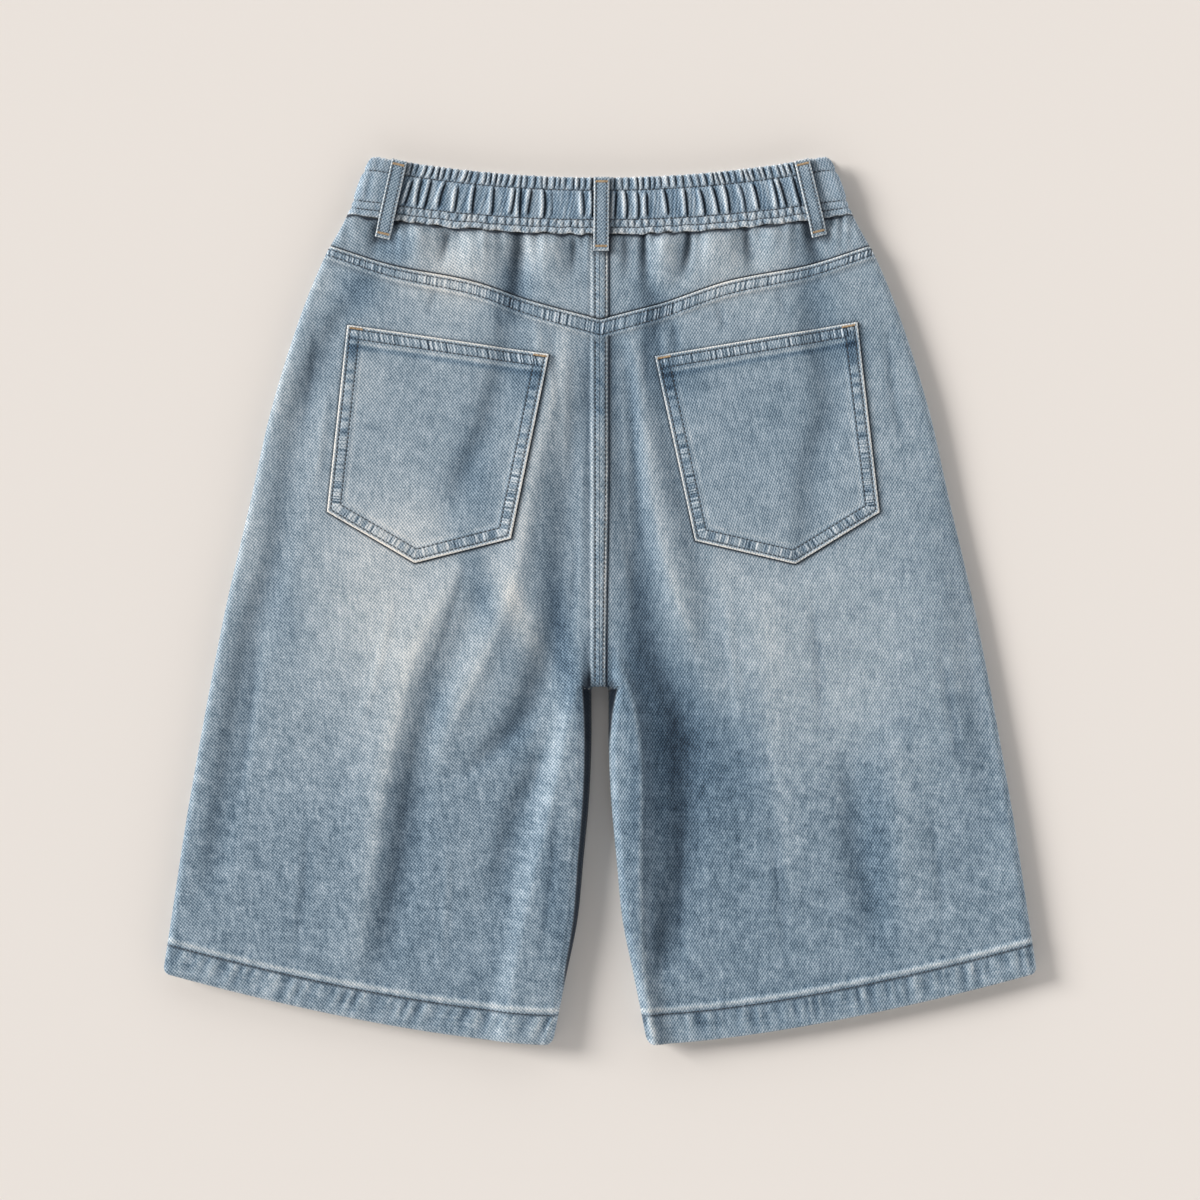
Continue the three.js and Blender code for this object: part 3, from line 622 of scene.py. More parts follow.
def new_mesh(name, points, faces):
    """Object from points in the drawing and faces that all have the same number of corners."""
    corners = faces.shape[1]
    mesh = bpy.data.meshes.new(name)
    mesh.vertices.add(len(points))
    mesh.vertices.foreach_set("co", to_frame(points).ravel())
    mesh.loops.add(faces.size)
    mesh.loops.foreach_set("vertex_index", faces.ravel())
    mesh.polygons.add(len(faces))
    mesh.polygons.foreach_set("loop_start", np.arange(0, faces.size, corners))
    mesh.polygons.foreach_set("use_smooth", np.ones(len(faces), bool))
    mesh.update(calc_edges=True)
    piece = bpy.data.objects.new(name, mesh)
    bpy.context.collection.objects.link(piece)
    return piece


def store(piece, name, values):
    """Values for the material, one for each point of the mesh."""
    values = np.asarray(values, float)
    kind, key = ("FLOAT_VECTOR", "vector") if values.ndim == 2 else ("FLOAT", "value")
    piece.data.attributes.new(name, kind, "POINT").data.foreach_set(key, values.ravel())


def shell(name, outer, inner, looks, material):
    """Closed cloth shell from two grids of points, with the looks of its outer face."""
    rows, columns = outer.shape[:2]
    count = rows * columns
    at = np.arange(count).reshape(rows, columns)
    top = np.stack([at[:-1, :-1], at[:-1, 1:], at[1:, 1:], at[1:, :-1]], -1).reshape(-1, 4)
    border = np.concatenate([at[0], at[1:, -1], at[-1, -2::-1], at[-2:0:-1, 0]])
    following = np.roll(border, -1)
    rim = np.stack([following, border, border + count, following + count], -1)
    faces = np.concatenate([top, top[:, ::-1] + count, rim])
    points = np.concatenate([outer.reshape(-1, 3), inner.reshape(-1, 3)])
    a, b, c, d = (points[faces[:, k]] for k in range(4))
    if (np.cross(c - a, d - b) * (a + b + c + d)).sum() < 0:
        faces = faces[:, ::-1]
    piece = new_mesh(name, points, np.ascontiguousarray(faces))
    zero = np.zeros(count)
    store(piece, "cloth", np.tile(looks["cloth"].reshape(-1, 3), (2, 1)))
    store(piece, "tone", np.concatenate([looks["tone"].ravel(), zero + LINING["tone"]]))
    store(piece, "marble", np.concatenate([looks["marble"].ravel(), zero]))
    # Painted shade of the outer face, kept on the inner face where it is deep so that the rims beside it stay
    # dark
    shade = looks["shade"].ravel()
    store(piece, "shade", np.concatenate([shade, np.where(shade > 0.5, shade, 0)]))
    store(piece, "lining", np.concatenate([zero, zero + 1]))
    for key in ("bars", "pocket_shadow"):
        place, strength = looks.get(key, np.zeros((2, rows, columns)))
        values = np.stack([place, strength, 0 * strength], -1).reshape(-1, 3)
        store(piece, key, np.tile(values, (2, 1)))
    piece.data.materials.append(material)
    return piece


def flat_cloth(x, y, turn=0.0, shift=0.0):
    """Place in the weave of a point of a flat panel."""
    c, s = math.cos(math.radians(turn)), math.sin(math.radians(turn))
    return np.stack([x * c - y * s + shift, x * s + y * c, np.zeros_like(x)], -1)


def marble_amount(y):
    return lerp(MARBLE["seat"], MARBLE["low_leg"], ease(MARBLE["from"], MARBLE["to"], y))


def panel_looks(x, y, turn, shift, tone, shade):
    """Attributes of a flat panel's cloth."""
    return {
        "cloth": flat_cloth(x, y, turn, shift), "tone": tone, "shade": np.clip(shade, 0, DARKEST),
        "marble": marble_amount(y),
    }


def summed(*parts):
    """Reliefs, tones and shades added up."""
    return [sum(values) for values in zip(*parts)]


# Materials
def srgb(red, green, blue):
    """Linear colour of an 8-bit display colour."""
    def linear(value):
        share = value / 255
        return share / 12.92 if share <= 0.04045 else ((share + 0.055) / 1.055) ** 2.4
    return (linear(red), linear(green), linear(blue), 1.0)


class Shader:
    """Short way to lay out the nodes of a material or of the world."""

    def __init__(self, owner, surface="Principled BSDF"):
        owner.use_nodes = True
        self.owner = owner
        self.tree = owner.node_tree
        self.surface = self.tree.nodes[surface]

    def node(self, kind, inputs, **settings):
        made = self.tree.nodes.new(kind)
        for key, value in settings.items():
            setattr(made, key, value)
        for key, value in inputs.items():
            self.put(made.inputs[key], value)
        return made

    def put(self, socket, value):
        if isinstance(value, bpy.types.NodeSocket):
            self.tree.links.new(value, socket)
        else:
            socket.default_value = value

    def math(self, operation, a, b):
        return self.node("ShaderNodeMath", {0: a, 1: b}, operation=operation).outputs[0]

    def swing(self, value, amount):
        """Texture value from 0 to 1 as a change of plus or minus half the amount."""
        return self.math("MULTIPLY", self.math("SUBTRACT", value, 0.5), amount)

    def attribute(self, name, output="Fac"):
        return self.node("ShaderNodeAttribute", {}, attribute_name=name).outputs[output]

    def stretched(self, vector, across, along, turn=0.0):
        """Weave places turned, then divided by a grain's size across and along it."""
        turned = self.node("ShaderNodeMapping", {"Vector": vector, "Rotation": (0, 0, math.radians(turn))})
        return self.node(
            "ShaderNodeMapping", {"Vector": turned.outputs[0], "Scale": (1 / across, 1 / along, 1)},
        ).outputs[0]

    def noise(self, vector, detail, roughness=0.55, distortion=0.0):
        return self.node("ShaderNodeTexNoise", {
            "Vector": vector, "Scale": 1.0, "Detail": detail,
            "Roughness": roughness, "Distortion": distortion,
        }).outputs["Fac"]

    def mixed(self, share, colour, other):
        """A colour mixed with a share of a plain display colour."""
        inputs = {0: share, 6: colour, 7: srgb(*other)}
        return self.node("ShaderNodeMix", inputs, data_type="RGBA").outputs[2]

    def finish(self, values):
        """Values and links of the surface's own sockets."""
        for key, value in values.items():
            self.put(self.surface.inputs[key], value)

    def ramp(self, value, stops):
        made = self.node("ShaderNodeValToRGB", {"Fac": value})
        elements = made.color_ramp.elements
        while len(elements) < len(stops):
            elements.new(0.5)
        for element, (place, *colour) in zip(elements, stops):
            element.position = place
            element.color = srgb(*colour)
        return made.outputs["Color"]


def twill(s, cloth, pitch, turn):
    """Diagonal ribs of the weave, from 0 to 1."""
    return s.node("ShaderNodeTexWave", {
        "Vector": s.stretched(cloth, pitch, pitch, turn), "Scale": ONE_RIB_A_UNIT,
        "Distortion": TWILL["waver"], "Detail": 1.0, "Detail Scale": 3.0,
    }, wave_type="BANDS", bands_direction="X").outputs["Fac"]


def bars_and_pocket_shadow(s):
    """Dark and pale bars along the felled seams, and the painted shadow line along the pockets."""
    place, strength, _ = s.node("ShaderNodeSeparateXYZ", {"Vector": s.attribute("bars", "Vector")}).outputs
    along = s.node("ShaderNodeCombineXYZ", {"X": s.math("DIVIDE", place, BAR_PITCH / 2)}).outputs[0]
    bar = s.math("MULTIPLY", s.swing(s.noise(along, 1.0), BAR_TONE), strength)
    away, dark, _ = s.node("ShaderNodeSeparateXYZ", {"Vector": s.attribute("pocket_shadow", "Vector")}).outputs
    line = s.node("ShaderNodeMapRange", {
        "Value": away, "From Min": SHADOW_ALONG_POCKETS["from"], "From Max": SHADOW_ALONG_POCKETS["width"],
        "To Min": 1.0, "To Max": 0.0,
    }, interpolation_type="SMOOTHSTEP").outputs[0]
    return bar, s.math("MULTIPLY", line, dark)


def denim(name, twill_turn, twill_pitch, neutral=BASE_TONE):
    """Washed twill: crossing diagonal ribs, flecks of white weft, slubs and mottling over a painted tone,
    darkened by painted shade.
    """
    s = Shader(bpy.data.materials.new(name))
    cloth = s.attribute("cloth", "Vector")
    painted = s.attribute("tone")
    bar, pocket_shadow = bars_and_pocket_shadow(s)
    ribs = twill(s, cloth, twill_pitch, twill_turn)
    weft = twill(s, cloth, twill_pitch, TWILL["weft_turn"] - twill_turn)
    tone = s.math("ADD", painted, bar)
    tone = s.math("ADD", tone, s.swing(ribs, TWILL["warp"]))
    tone = s.math("ADD", tone, s.swing(weft, TWILL["weft"]))
    grains = {}
    for kind, (across, along, turn, detail, roughness, distortion, amount) in GRAIN.items():
        grains[kind] = s.noise(s.stretched(cloth, across, along, turn), detail, roughness, distortion)
        change = s.swing(grains[kind], amount)
        if kind in MARBLED:
            change = s.math("MULTIPLY", change, s.attribute("marble"))
        tone = s.math("ADD", tone, change)
    warmth = s.math("MULTIPLY", s.math("SUBTRACT", painted, neutral), WEAR_WARMTH)
    tint = s.node("ShaderNodeCombineXYZ", {
        "X": s.math("ADD", 1.0, warmth), "Y": 1.0, "Z": s.math("SUBTRACT", 1.0, warmth),
    }).outputs[0]
    dyed = s.ramp(tone, DENIM_RAMP)
    colour = s.node("ShaderNodeVectorMath", {0: dyed, 1: tint}, operation="MULTIPLY").outputs[0]
    # Painted shade: the shade attribute, the painted shadow along the pockets and the dark of the seams' bars
    # mix the colour toward DEEP_SHADE
    shade = s.math("MAXIMUM", s.attribute("shade"), pocket_shadow)
    shade = s.math("ADD", shade, s.math("MAXIMUM", s.math("MULTIPLY", bar, -BAR_SHADE), 0.0))
    shaded = s.mixed(shade, colour, DEEP_SHADE)
    inside = s.math("MULTIPLY", s.attribute("lining"), LINING["cover"])
    rise = s.math("MULTIPLY", grains["fleck"], BUMP["fleck"])
    rise = s.math("ADD", s.math("MULTIPLY", ribs, BUMP["rib"]), rise)
    bump = s.node("ShaderNodeBump", {
        "Strength": BUMP["strength"], "Distance": BUMP["depth"] * MM, "Height": rise,
    }).outputs[0]
    s.finish({"Base Color": s.mixed(inside, shaded, LINING["colour"]), "Normal": bump, **DENIM_FINISH})
    return s.owner


def thread(name, dark, light):
    """Twisted sewing thread: its strands vary along it."""
    s = Shader(bpy.data.materials.new(name))
    place = s.node("ShaderNodeTexCoord", {}).outputs["Object"]
    scaled = s.node("ShaderNodeMapping", {"Vector": place, "Scale": (STRANDS, STRANDS, STRANDS)}).outputs[0]
    strand = s.noise(scaled, 2.0)
    s.finish({"Base Color": s.ramp(strand, [(0.3, *dark), (0.7, *light)]), **THREAD_FINISH})
    return s.owner


LEFT_DENIM = denim("denim_left", -45, 1.8)
RIGHT_DENIM = denim("denim_right", 28, 1.78)
BAND_DENIM = denim("denim_band", 34, 1.75, neutral=0.72)
LOOP_DENIM = denim("denim_loop", -45, 1.75)
THREAD = thread("thread_slate", (38, 42, 50), (84, 86, 90))
TACK_THREAD = thread("thread_tan", (170, 136, 100), (216, 190, 154))


# Grids of the panels
def panel_lines(top_side, top_centre, fell):
    """Rows of a panel from side to centre edge: side y, centre x, centre y, share of the way down."""
    share = YOKE_FELL["side"] / YOKE_FELL["centre"]
    seat_low = CROTCH + EDGE_DEPTH
    leg_x = INNER_LEG[0][1]
    hem_side, hem_centre = hem_y(HEM["to"]), hem_y(HEM["from"])
    seam = SEAM_GAP / 2
    corners = [
        (top_side, seam, top_centre, 0, SEAM_STEP),
        (top_side - fell * share, seam, top_centre - fell, 0, PANEL_STEP),
        (seat_low + ROW_LEAN, seam, seat_low, 0.5, SEAM_STEP),
        (CROTCH + ROW_LEAN, seam, CROTCH, 0.5, SEAM_STEP),
        (CROTCH + ROW_LEAN - leg_x, leg_x, CROTCH, 0.5, PANEL_STEP),
        (hem_side + HEM["width"] + 3, None, hem_centre + HEM["width"] + 3, 1, SEAM_STEP),
        (hem_side, None, hem_centre, 1, SEAM_STEP),
    ]
    lines = []
    for start, end in zip(corners, corners[1:]):
        length = max(abs(start[0] - end[0]), abs(start[2] - end[2]))
        if length < 0.01:
            continue
        for t in np.arange(0, 1, 1 / max(1, round(length / start[4]))):
            y = lerp(start[2], end[2], t)
            x = inner_leg_x(y) if end[1] is None else lerp(start[1], end[1], t)
            lines.append((lerp(start[0], end[0], t), float(x), y, lerp(start[3], end[3], t)))
    last = corners[-1]
    lines.append((last[0], float(inner_leg_x(last[2])), last[2], last[3]))
    return np.array(lines)


def across_steps(length, step, centre_steps):
    """Distances in from the side edge for every row: fine at both edges, even between."""
    centre_steps = np.asarray(centre_steps)
    first, last = EDGE_STEPS[-1], centre_steps[..., -1]
    count = round((length.max() - first - last.max()) / step)
    share = np.arange(1, count) / count
    ones = np.ones((len(length), 1))
    middle = lerp(first, (length - last)[:, None], share)
    return np.hstack([ones * EDGE_STEPS, middle, length[:, None] - centre_steps[..., ::-1]])


def panel_grid(hand, lines, top_line, step, centre_steps):
    """Places of a panel's grid, in rows that follow the top seam above and the hem below."""
    side_y, centre_x, centre_y, down = lines.T
    side_xs, centre_xs = hand * side_x(side_y), hand * centre_x
    length = np.hypot(side_xs - centre_xs, side_y - centre_y)
    t = across_steps(length, step, centre_steps) / length[:, None]
    x = lerp(side_xs[:, None], centre_xs[:, None], t)
    y = lerp(side_y[:, None], centre_y[:, None], t)
    for line, share in ((top_line, 1 - down), (hem_y, down)):
        straight = lerp(line(side_xs)[:, None], line(centre_xs)[:, None], t)
        y += share[:, None] * (line(x) - straight)
    return x, y


def centre_steps(hand):
    """Steps in from the centre edge, close at the felled seam."""
    left = [0, 0.7, 1.6, 2.5, 3.1, 3.6, 4.1, 4.8, 5.7, 6.3, 6.9, 7.6, 8.5, 9.8, 11.5]
    right = [0, 0.8, 1.6, 2.2, 2.8, 3.4, 4.0, 4.5, 5.0, 5.6, 6.2, 6.8, 7.6, 9.2, 11.5]
    return np.array(left if hand < 0 else right)


def inside_steps(hand, lines):
    """Steps in from the inner edge for every row: at the felled seam, and below the crotch at the shelf."""
    on_leg = np.clip(lines[:, 1] / INNER_LEG[0][1], 0, 1)[:, None] * (lines[:, 1] > SEAM_GAP)[:, None]
    shelf = shelf_width(hand * np.ones(len(lines)), lines[:, 2])[:, None] * on_leg
    beyond = np.array([0, 0.05, 0.1, 0.3, 0.6, 1.0, 1.5, 2.0, 2.6, 3.3, 4.1, 5.0, 6.0, 7.2, 8.5])
    share = np.minimum(np.arange(len(beyond)) / 2, 1)
    return lerp(centre_steps(hand), shelf * share + beyond, on_leg)


# Seams: each gives the relief, the change of tone and the painted shade at places on the cloth
# Soft lines along a seam: place, width, then what each adds of relief, tone and painted shade
SEAM_ROW = [(0, 0.75, -0.5, -0.06, 0.26)]


def lines_along(place, rows):
    """Relief, tone and shade of soft lines along a seam, at a distance from it."""
    marks = [bell((place - at) / width) for at, width, *_ in rows]
    return [sum(row[k] * mark for row, mark in zip(rows, marks)) for k in (2, 3, 4)]


def weighed(weights, **amounts):
    """Relief, tone and shade of features, from a table of what each adds of the three."""
    return [sum(weights[key][k] * amount for key, amount in amounts.items()) for k in range(3)]


def stitched_row(place):
    """Groove of a stitch row at a distance from it, with painted shade in it."""
    return lines_along(place, SEAM_ROW)


CENTRE_LEFT = -6.6
CENTRE_RIGHT = {"high": 5.3, "low": 3.5, "from": 430.0, "to": 264.0}
CENTRE_ROWS = {"left": -3.5, "in_from_right": 1.3}
# Lines along the centre seam: a bright rim inside its right edge and painted shadow beyond it, a pale line
# inside its left edge and painted shade beyond it
CENTRE_LINES = {
    "right": [(-0.5, 0.75, 0, 0.26, 0), (1.3, 0.9, 0, 0, 0.95), (2.4, 3.0, 0, 0, 0.1)],
    "left": [(0.4, 0.9, 0, 0.12, 0), (-1.4, 1.4, 0, 0, 0.22)],
}
CENTRE_BODY = {
    "body": (1.25 * FELL_RISE, 0.05, 0), "rope": (0.12, 0.1, 0),
    "low_rope": (0.4, 0, 0), "blotch": (0, 0.16, 0),
}
ROPE = {"pitch": 6.2, "lean": 0.8, "from": 470.0, "to": 420.0}


def centre_right_x(y):
    return lerp(CENTRE_RIGHT["low"], CENTRE_RIGHT["high"], ease(CENTRE_RIGHT["to"], CENTRE_RIGHT["from"], y))


def centre_row_places(y):
    """Places across of the seam's two stitch rows."""
    return CENTRE_ROWS["left"] + 0 * y, centre_right_x(y) - CENTRE_ROWS["in_from_right"]


def centre_seam(x, y):
    """Felled seam down the centre back: soft on its left, a bright rim and a step with painted shadow beside
    it on its right.
    """
    right = centre_right_x(y)
    rows = centre_row_places(y)
    rope = pucker(y + ROPE["lean"] * x, ROPE["pitch"], 1.0) * plateau(x - rows[0], rows[1] - rows[0], 1.4)
    body = weighed(
        CENTRE_BODY, rope=rope, low_rope=rope * ease(ROPE["from"], ROPE["to"], y),
        body=ease(CENTRE_LEFT - 0.8, CENTRE_LEFT + 1.6, x) * ease(right + 0.7, right - 0.3, x),
        blotch=np.minimum(0, pucker(y, 27.0, 4.4) + 0.25) * plateau(x + 4.5, 7.5, 2.0),
    )
    seam = summed(
        body, lines_along(x - right, CENTRE_LINES["right"]),
        lines_along(x - CENTRE_LEFT, CENTRE_LINES["left"]), *(stitched_row(x - row) for row in rows),
    )
    above = y > CROTCH
    return [np.where(above, part, 0) for part in seam]


def yoke_band_width(x):
    return lerp(YOKE_FELL["centre"], YOKE_FELL["side"], np.clip(np.abs(x) / YOKE_SEAM[-1][0], 0, 1))


YOKE_ROWS = {"from_top": 2.6, "from_low": 2.8}
# Lines along the yoke seam: a pale rim at its top, a pale line at its low edge and painted shadow below it
YOKE_LINES = {
    "top": [(0.7, 0.75, 0, 0.3, 0)],
    "low": [(-0.6, 0.9, 0, 0.14, 0), (1.4, 1.2, 0, 0, 0.24)],
}
YOKE_BODY = {"body": (FELL_RISE, -0.02, 0), "puckers": (0.2, 0, 0)}


def yoke_band(x, y):
    """Felled seam below the yoke: a pale rim, two stitch rows and dark dashes between them."""
    width = yoke_band_width(x)
    below = yoke_seam_y(x) - y
    body = plateau(below, width, 0.8)
    band = summed(
        weighed(YOKE_BODY, body=body, puckers=pucker(x, 11.0, 2.0) * body),
        lines_along(below, YOKE_LINES["top"]), lines_along(below - width, YOKE_LINES["low"]),
        stitched_row(below - YOKE_ROWS["from_top"]), stitched_row(below - width + YOKE_ROWS["from_low"]),
    )
    near = below < 20
    return [np.where(near, part, 0) for part in band]


def yoke_bars(x, y):
    """Place along the felled seam and how strong its bars are there: stronger toward the centre."""
    width = yoke_band_width(x)
    below = yoke_seam_y(x) - y
    rows = YOKE_ROWS["from_top"], YOKE_ROWS["from_low"]
    between = plateau(below - rows[0] + 0.6, width - sum(rows) + 1.2, 1.2)
    patchy = np.clip(0.85 + 0.4 * pucker(x, 46.0, 0.6), 0.5, 1.2)
    return x + 0.15 * below, between * patchy


HEM_RIDGE = {"up": 24.9, "width": 1.9}
HEM_ROW = 21.4
HEM_CORNER = 5.5

# Puckers of the hem on the left leg and on the right one: lean, pitch
HEM_PUCKERS = {"left": (0.4, 11.0), "right": (-0.15, 9.5), "fine": 5.3}
HEM_CRINKLES = [(6.0, 0.6, 0.5, 0, 0), (10.5, 0.6, 0.8, 0, 0), (14.2, 0.6, 0.6, 0, 0)]
# Lines along the hem: a pale line at its low edge, and painted shade at the stitch row under the ridge
HEM_LINES = [(0, 1.1, 0, 0.14, 0), (HEM_ROW - 0.7, 0.75, 0, 0, 0.5)]
# What each feature of the hem adds of relief, tone and shade; dents and low are painted shade, in the
# puckers' dents and toward its low edge
HEM_BODY = {
    "fold": (HEM["rise"], 0, 0), "ridge": (0.9, 0.22, 0), "ripple": (0.27, 0, 0),
    "swell": (0.75, 0.12, 0), "fine": (0.2, 0.07, 0), "dents": (0, 0, 0.2),
    "spots": (0.2, 0, 0), "dark_spots": (0, 0.14, 0), "crinkles": (-0.45, -0.12, 0),
    "wear": (0, 0.03, 0), "low": (0, 0, 0.12),
}


def hem_band(x, y):
    """Turned hem: a pale ridge at its fold, a dark stitch row under it in painted shade, slanting puckers
    with painted shade in their dents, crinkles, and painted shade toward its low edge.
    """
    up = y - hem_y(x)
    lean, pitch = (np.where(x < 0, *pair) for pair in zip(HEM_PUCKERS["left"], HEM_PUCKERS["right"]))
    swell = pucker(x - lean * up, pitch, 0.7)
    fine = pucker(x - 1.6 * lean * up, HEM_PUCKERS["fine"], 3.3) * ease(8, 18, up)
    reach = ease(HEM_ROW, HEM_ROW - 2.5, up) * (0.3 + 0.7 * ease(1, 15, up))
    crinkles = lines_along(up + 0.9 * pucker(x, 44.0, 1.9), HEM_CRINKLES)[0]
    ridge = bell((up - HEM_RIDGE["up"]) / HEM_RIDGE["width"])
    spots = pucker(x, 7.5, 3.1) * bell((up - HEM_RIDGE["up"] - 3.6) / 1.8)
    body = weighed(
        HEM_BODY, ridge=ridge, ripple=ridge * pucker(x, 26.0, 5.5), swell=swell * reach, fine=fine * reach,
        fold=ease(HEM["width"] + 1.6, HEM["width"] + 0.4, up), dents=np.maximum(0, -swell) * reach,
        spots=spots, dark_spots=np.minimum(spots, 0), wear=ease(HEM_ROW, 12, up), low=ease(6, 0, up),
        crinkles=crinkles * np.clip(0.4 + pucker(x, 38.0, 2.6), 0, 1),
    )
    inside = up < HEM["width"] + 9
    band = summed(body, lines_along(up, HEM_LINES), stitched_row(up - HEM_ROW))
    return [np.where(inside, part, 0) for part in band]


def pocket_shadow_line(name, x, y):
    """Distance from the pocket's edge, and how dark the painted shadow line along it is."""
    corners = POCKETS[name]
    top, edge, _ = pocket_edges(corners, x, y)
    inside = np.minimum(top, edge)
    middle_x = np.mean(list(corners.values()), 0)[0]
    right_or_low = ease(-8, 8, x - middle_x) + ease(8, -8, y - corners["low_out"][1])
    strength = lerp(SHADOW_ALONG_POCKETS["left"], SHADOW_ALONG_POCKETS["right"], np.minimum(right_or_low, 1))
    strength = np.where(top < edge, SHADOW_ALONG_POCKETS["above"], strength)
    return -inside, strength


def crease_height(rows, x, y, fade=1.0):
    """Height of bowed creases that fade out toward both ends."""
    z = np.zeros_like(x)
    for top_x, top_y, low_x, low_y, bow, width, height in rows:
        t = np.clip((top_y - y) / (top_y - low_y), 0, 1)
        line = lerp(top_x, low_x, t) + bow * 4 * t * (1 - t)
        z += height * np.sin(math.pi * t) ** fade * bell((x - line) / width)
    return z


def small_creases(x, y):
    """Relief, tone and shade of the short creases by the seams: painted light on their crests, painted shade
    in their troughs.
    """
    relief = crease_height(SMALL_CREASES, x, y, CREASE_LOOK["fade"])
    return relief, CREASE_LOOK["tone"] * relief, CREASE_LOOK["shade"] * np.maximum(0, -relief)


def notch_shade(x, y):
    """Painted shade above the crotch, where the inside-leg folds stand off the centre seam."""
    above = y - CROTCH
    shade = np.zeros_like(x)
    for outer, inner, fade, strength in NOTCHES:
        shade += strength * ease(*outer, x) * ease(*inner, x) * ease(*fade, above)
    return shade * (above > 0)


def back_looks(x, y):
    """Relief, tone and shade of the back panels."""
    under_yoke = yoke_seam_y(x) - y
    show_centre = ease(0, 3, under_yoke - yoke_band_width(x) + 2)
    centre = [part * show_centre for part in centre_seam(x, y)]
    away, shelf, _ = curled_edge(x, y)
    # Painted shade on the low strip along the inside legs, where the back layer sits in from the front one
    deep = SHELF_SHADE * np.minimum(shelf, 1) * ease(shelf + 1.3, shelf + 0.2, away)
    ground = (0 * x, tone_of_wash_and_painted_light(x, y), valley_shade(x, y) + deep + notch_shade(x, y))
    return summed(ground, small_creases(x, y), centre, yoke_band(x, y), hem_band(x, y))


def back_top(x, y):
    """Points of the outer face of the back panels, for stitches."""
    relief = back_looks(x, y)[0]
    return upper_wall(x, y, laid_height(x, y), CLOTH, relief)[0]


def round_corners(x, y):
    """Raise the hem's low edge where it turns up into the side and the inside leg."""
    side = side_x(y) - np.abs(x)
    leg = np.abs(x) - inner_leg_x(y)
    away = np.minimum(side, leg)
    raised = y + HEM_CORNER * (1 - rounding(away, HEM_CORNER)) * ease(9, 0, y - hem_y(x))
    moved = np.where(side < leg, side_x(raised) - side_x(y), inner_leg_x(raised) - inner_leg_x(y))
    return x + np.sign(x) * moved, raised


def panel_wall(x, y):
    """Thickness of a panel: the hem is turned, so it is thicker."""
    return np.where(y - hem_y(x) < HEM["width"], HEM["wall"], CLOTH)


def back_panel(name, hand, material):
    top_side = float(yoke_seam_y(YOKE_SEAM[-1][0])) - SEAM_GAP / 2
    top_centre = float(yoke_seam_y(0)) - SEAM_GAP / 2
    lines = panel_lines(top_side, top_centre, YOKE_FELL["centre"])
    x, y = panel_grid(hand, lines, yoke_seam_y, PANEL_STEP, inside_steps(hand, lines))
    x, y = round_corners(x, y)
    relief, tone, shade = back_looks(x, y)
    outer, inner = upper_wall(x, y, laid_height(x, y), panel_wall(x, y), relief)
    looks = panel_looks(x, y, hand * 4, 0, tone, shade)
    looks["bars"] = yoke_bars(x, y)
    looks["pocket_shadow"] = pocket_shadow_line("pocket_left" if hand < 0 else "pocket_right", x, y)
    return shell(name, outer, inner, looks, material)


# Painted shadow of a belt loop on the cloth to its right and left: strength, reach
LOOP_SHADE = {"right": (0.62, 3.2), "left": (0.45, 1.3)}


def loop_shade(x, y):
    """Painted shadow of each belt loop on the cloth beside it."""
    shade = np.zeros_like(x)
    for (top_x, top_y), (low_x, low_y) in LOOPS.values():
        t = (top_y - y) / (top_y - low_y)
        away = x - lerp(top_x, low_x, t)
        beside = np.maximum(np.abs(away) - LOOP["width"] / 2, 0)
        strength, reach = (np.where(away > 0, *pair) for pair in zip(LOOP_SHADE["right"], LOOP_SHADE["left"]))
        shade += strength * bell(beside / reach) * ease(-0.05, 0.02, t) * ease(1.12, 1.0, t)
    return shade


# The yoke under the waistband and above its felled seam
YOKE_RIPPLE = {"rise": 1.1, "pitch": 11.0, "fade": 15.0}
# Painted light on the yoke's lobes, and painted shade in the valleys between them
YOKE_LOOK = {"lobes": 0.03, "valleys": 0.25}
# Painted shadow on the yoke under the waistband's low edge
UNDER_BAND = {"dark": 0.95, "from": 0.4, "reach": 1.3, "soft": 0.22, "soft_reach": 4.5}
# Painted shadow on the yoke along the top of its felled seam: place, width, relief, tone, shade
ABOVE_SEAM = [(0.3, 0.85, 0, 0, 0.8), (0, 3.5, 0, 0, 0.14)]


def puffed(x, y):
    """How much further than the solid the yoke puffs out in lobes, with narrow valleys between them."""
    below = np.maximum(waist_seam_y(x) - y, 0)
    lobes = YOKE_PUFF["gain"] * gather_height(x, y, YOKE_PUFF["valley"])
    ripples = YOKE_RIPPLE["rise"] * pucker(x, YOKE_RIPPLE["pitch"], 0.9)
    return lobes + ripples * np.exp(-below / YOKE_RIPPLE["fade"])


def yoke_looks(x, y):
    """Relief, tone and shade of the yoke, puffed out by the gathers above it, with painted light on its lobes
    and painted shade in its valleys, under the waistband, along its seams and beside the belt loops.
    """
    lobes = puffed(x, y)
    tone = tone_of_wash_and_painted_light(x, y) + YOKE_LOOK["lobes"] * lobes
    edge = waist_seam_y(x) - y - low_edge_wave(x)
    shade = UNDER_BAND["dark"] * bell(np.maximum(0, edge - UNDER_BAND["from"]) / UNDER_BAND["reach"])
    shade = shade + UNDER_BAND["soft"] * bell(edge / UNDER_BAND["soft_reach"])
    shade = shade + YOKE_LOOK["valleys"] * np.clip(-lobes - 0.2, 0, 2) + loop_shade(x, y)
    seam = lines_along(y - yoke_seam_y(x), ABOVE_SEAM)
    return summed((0 * x, tone, shade), seam, centre_seam(x, y))


def yoke_height(x, y):
    return laid_height(x, y) + puffed(x, y)


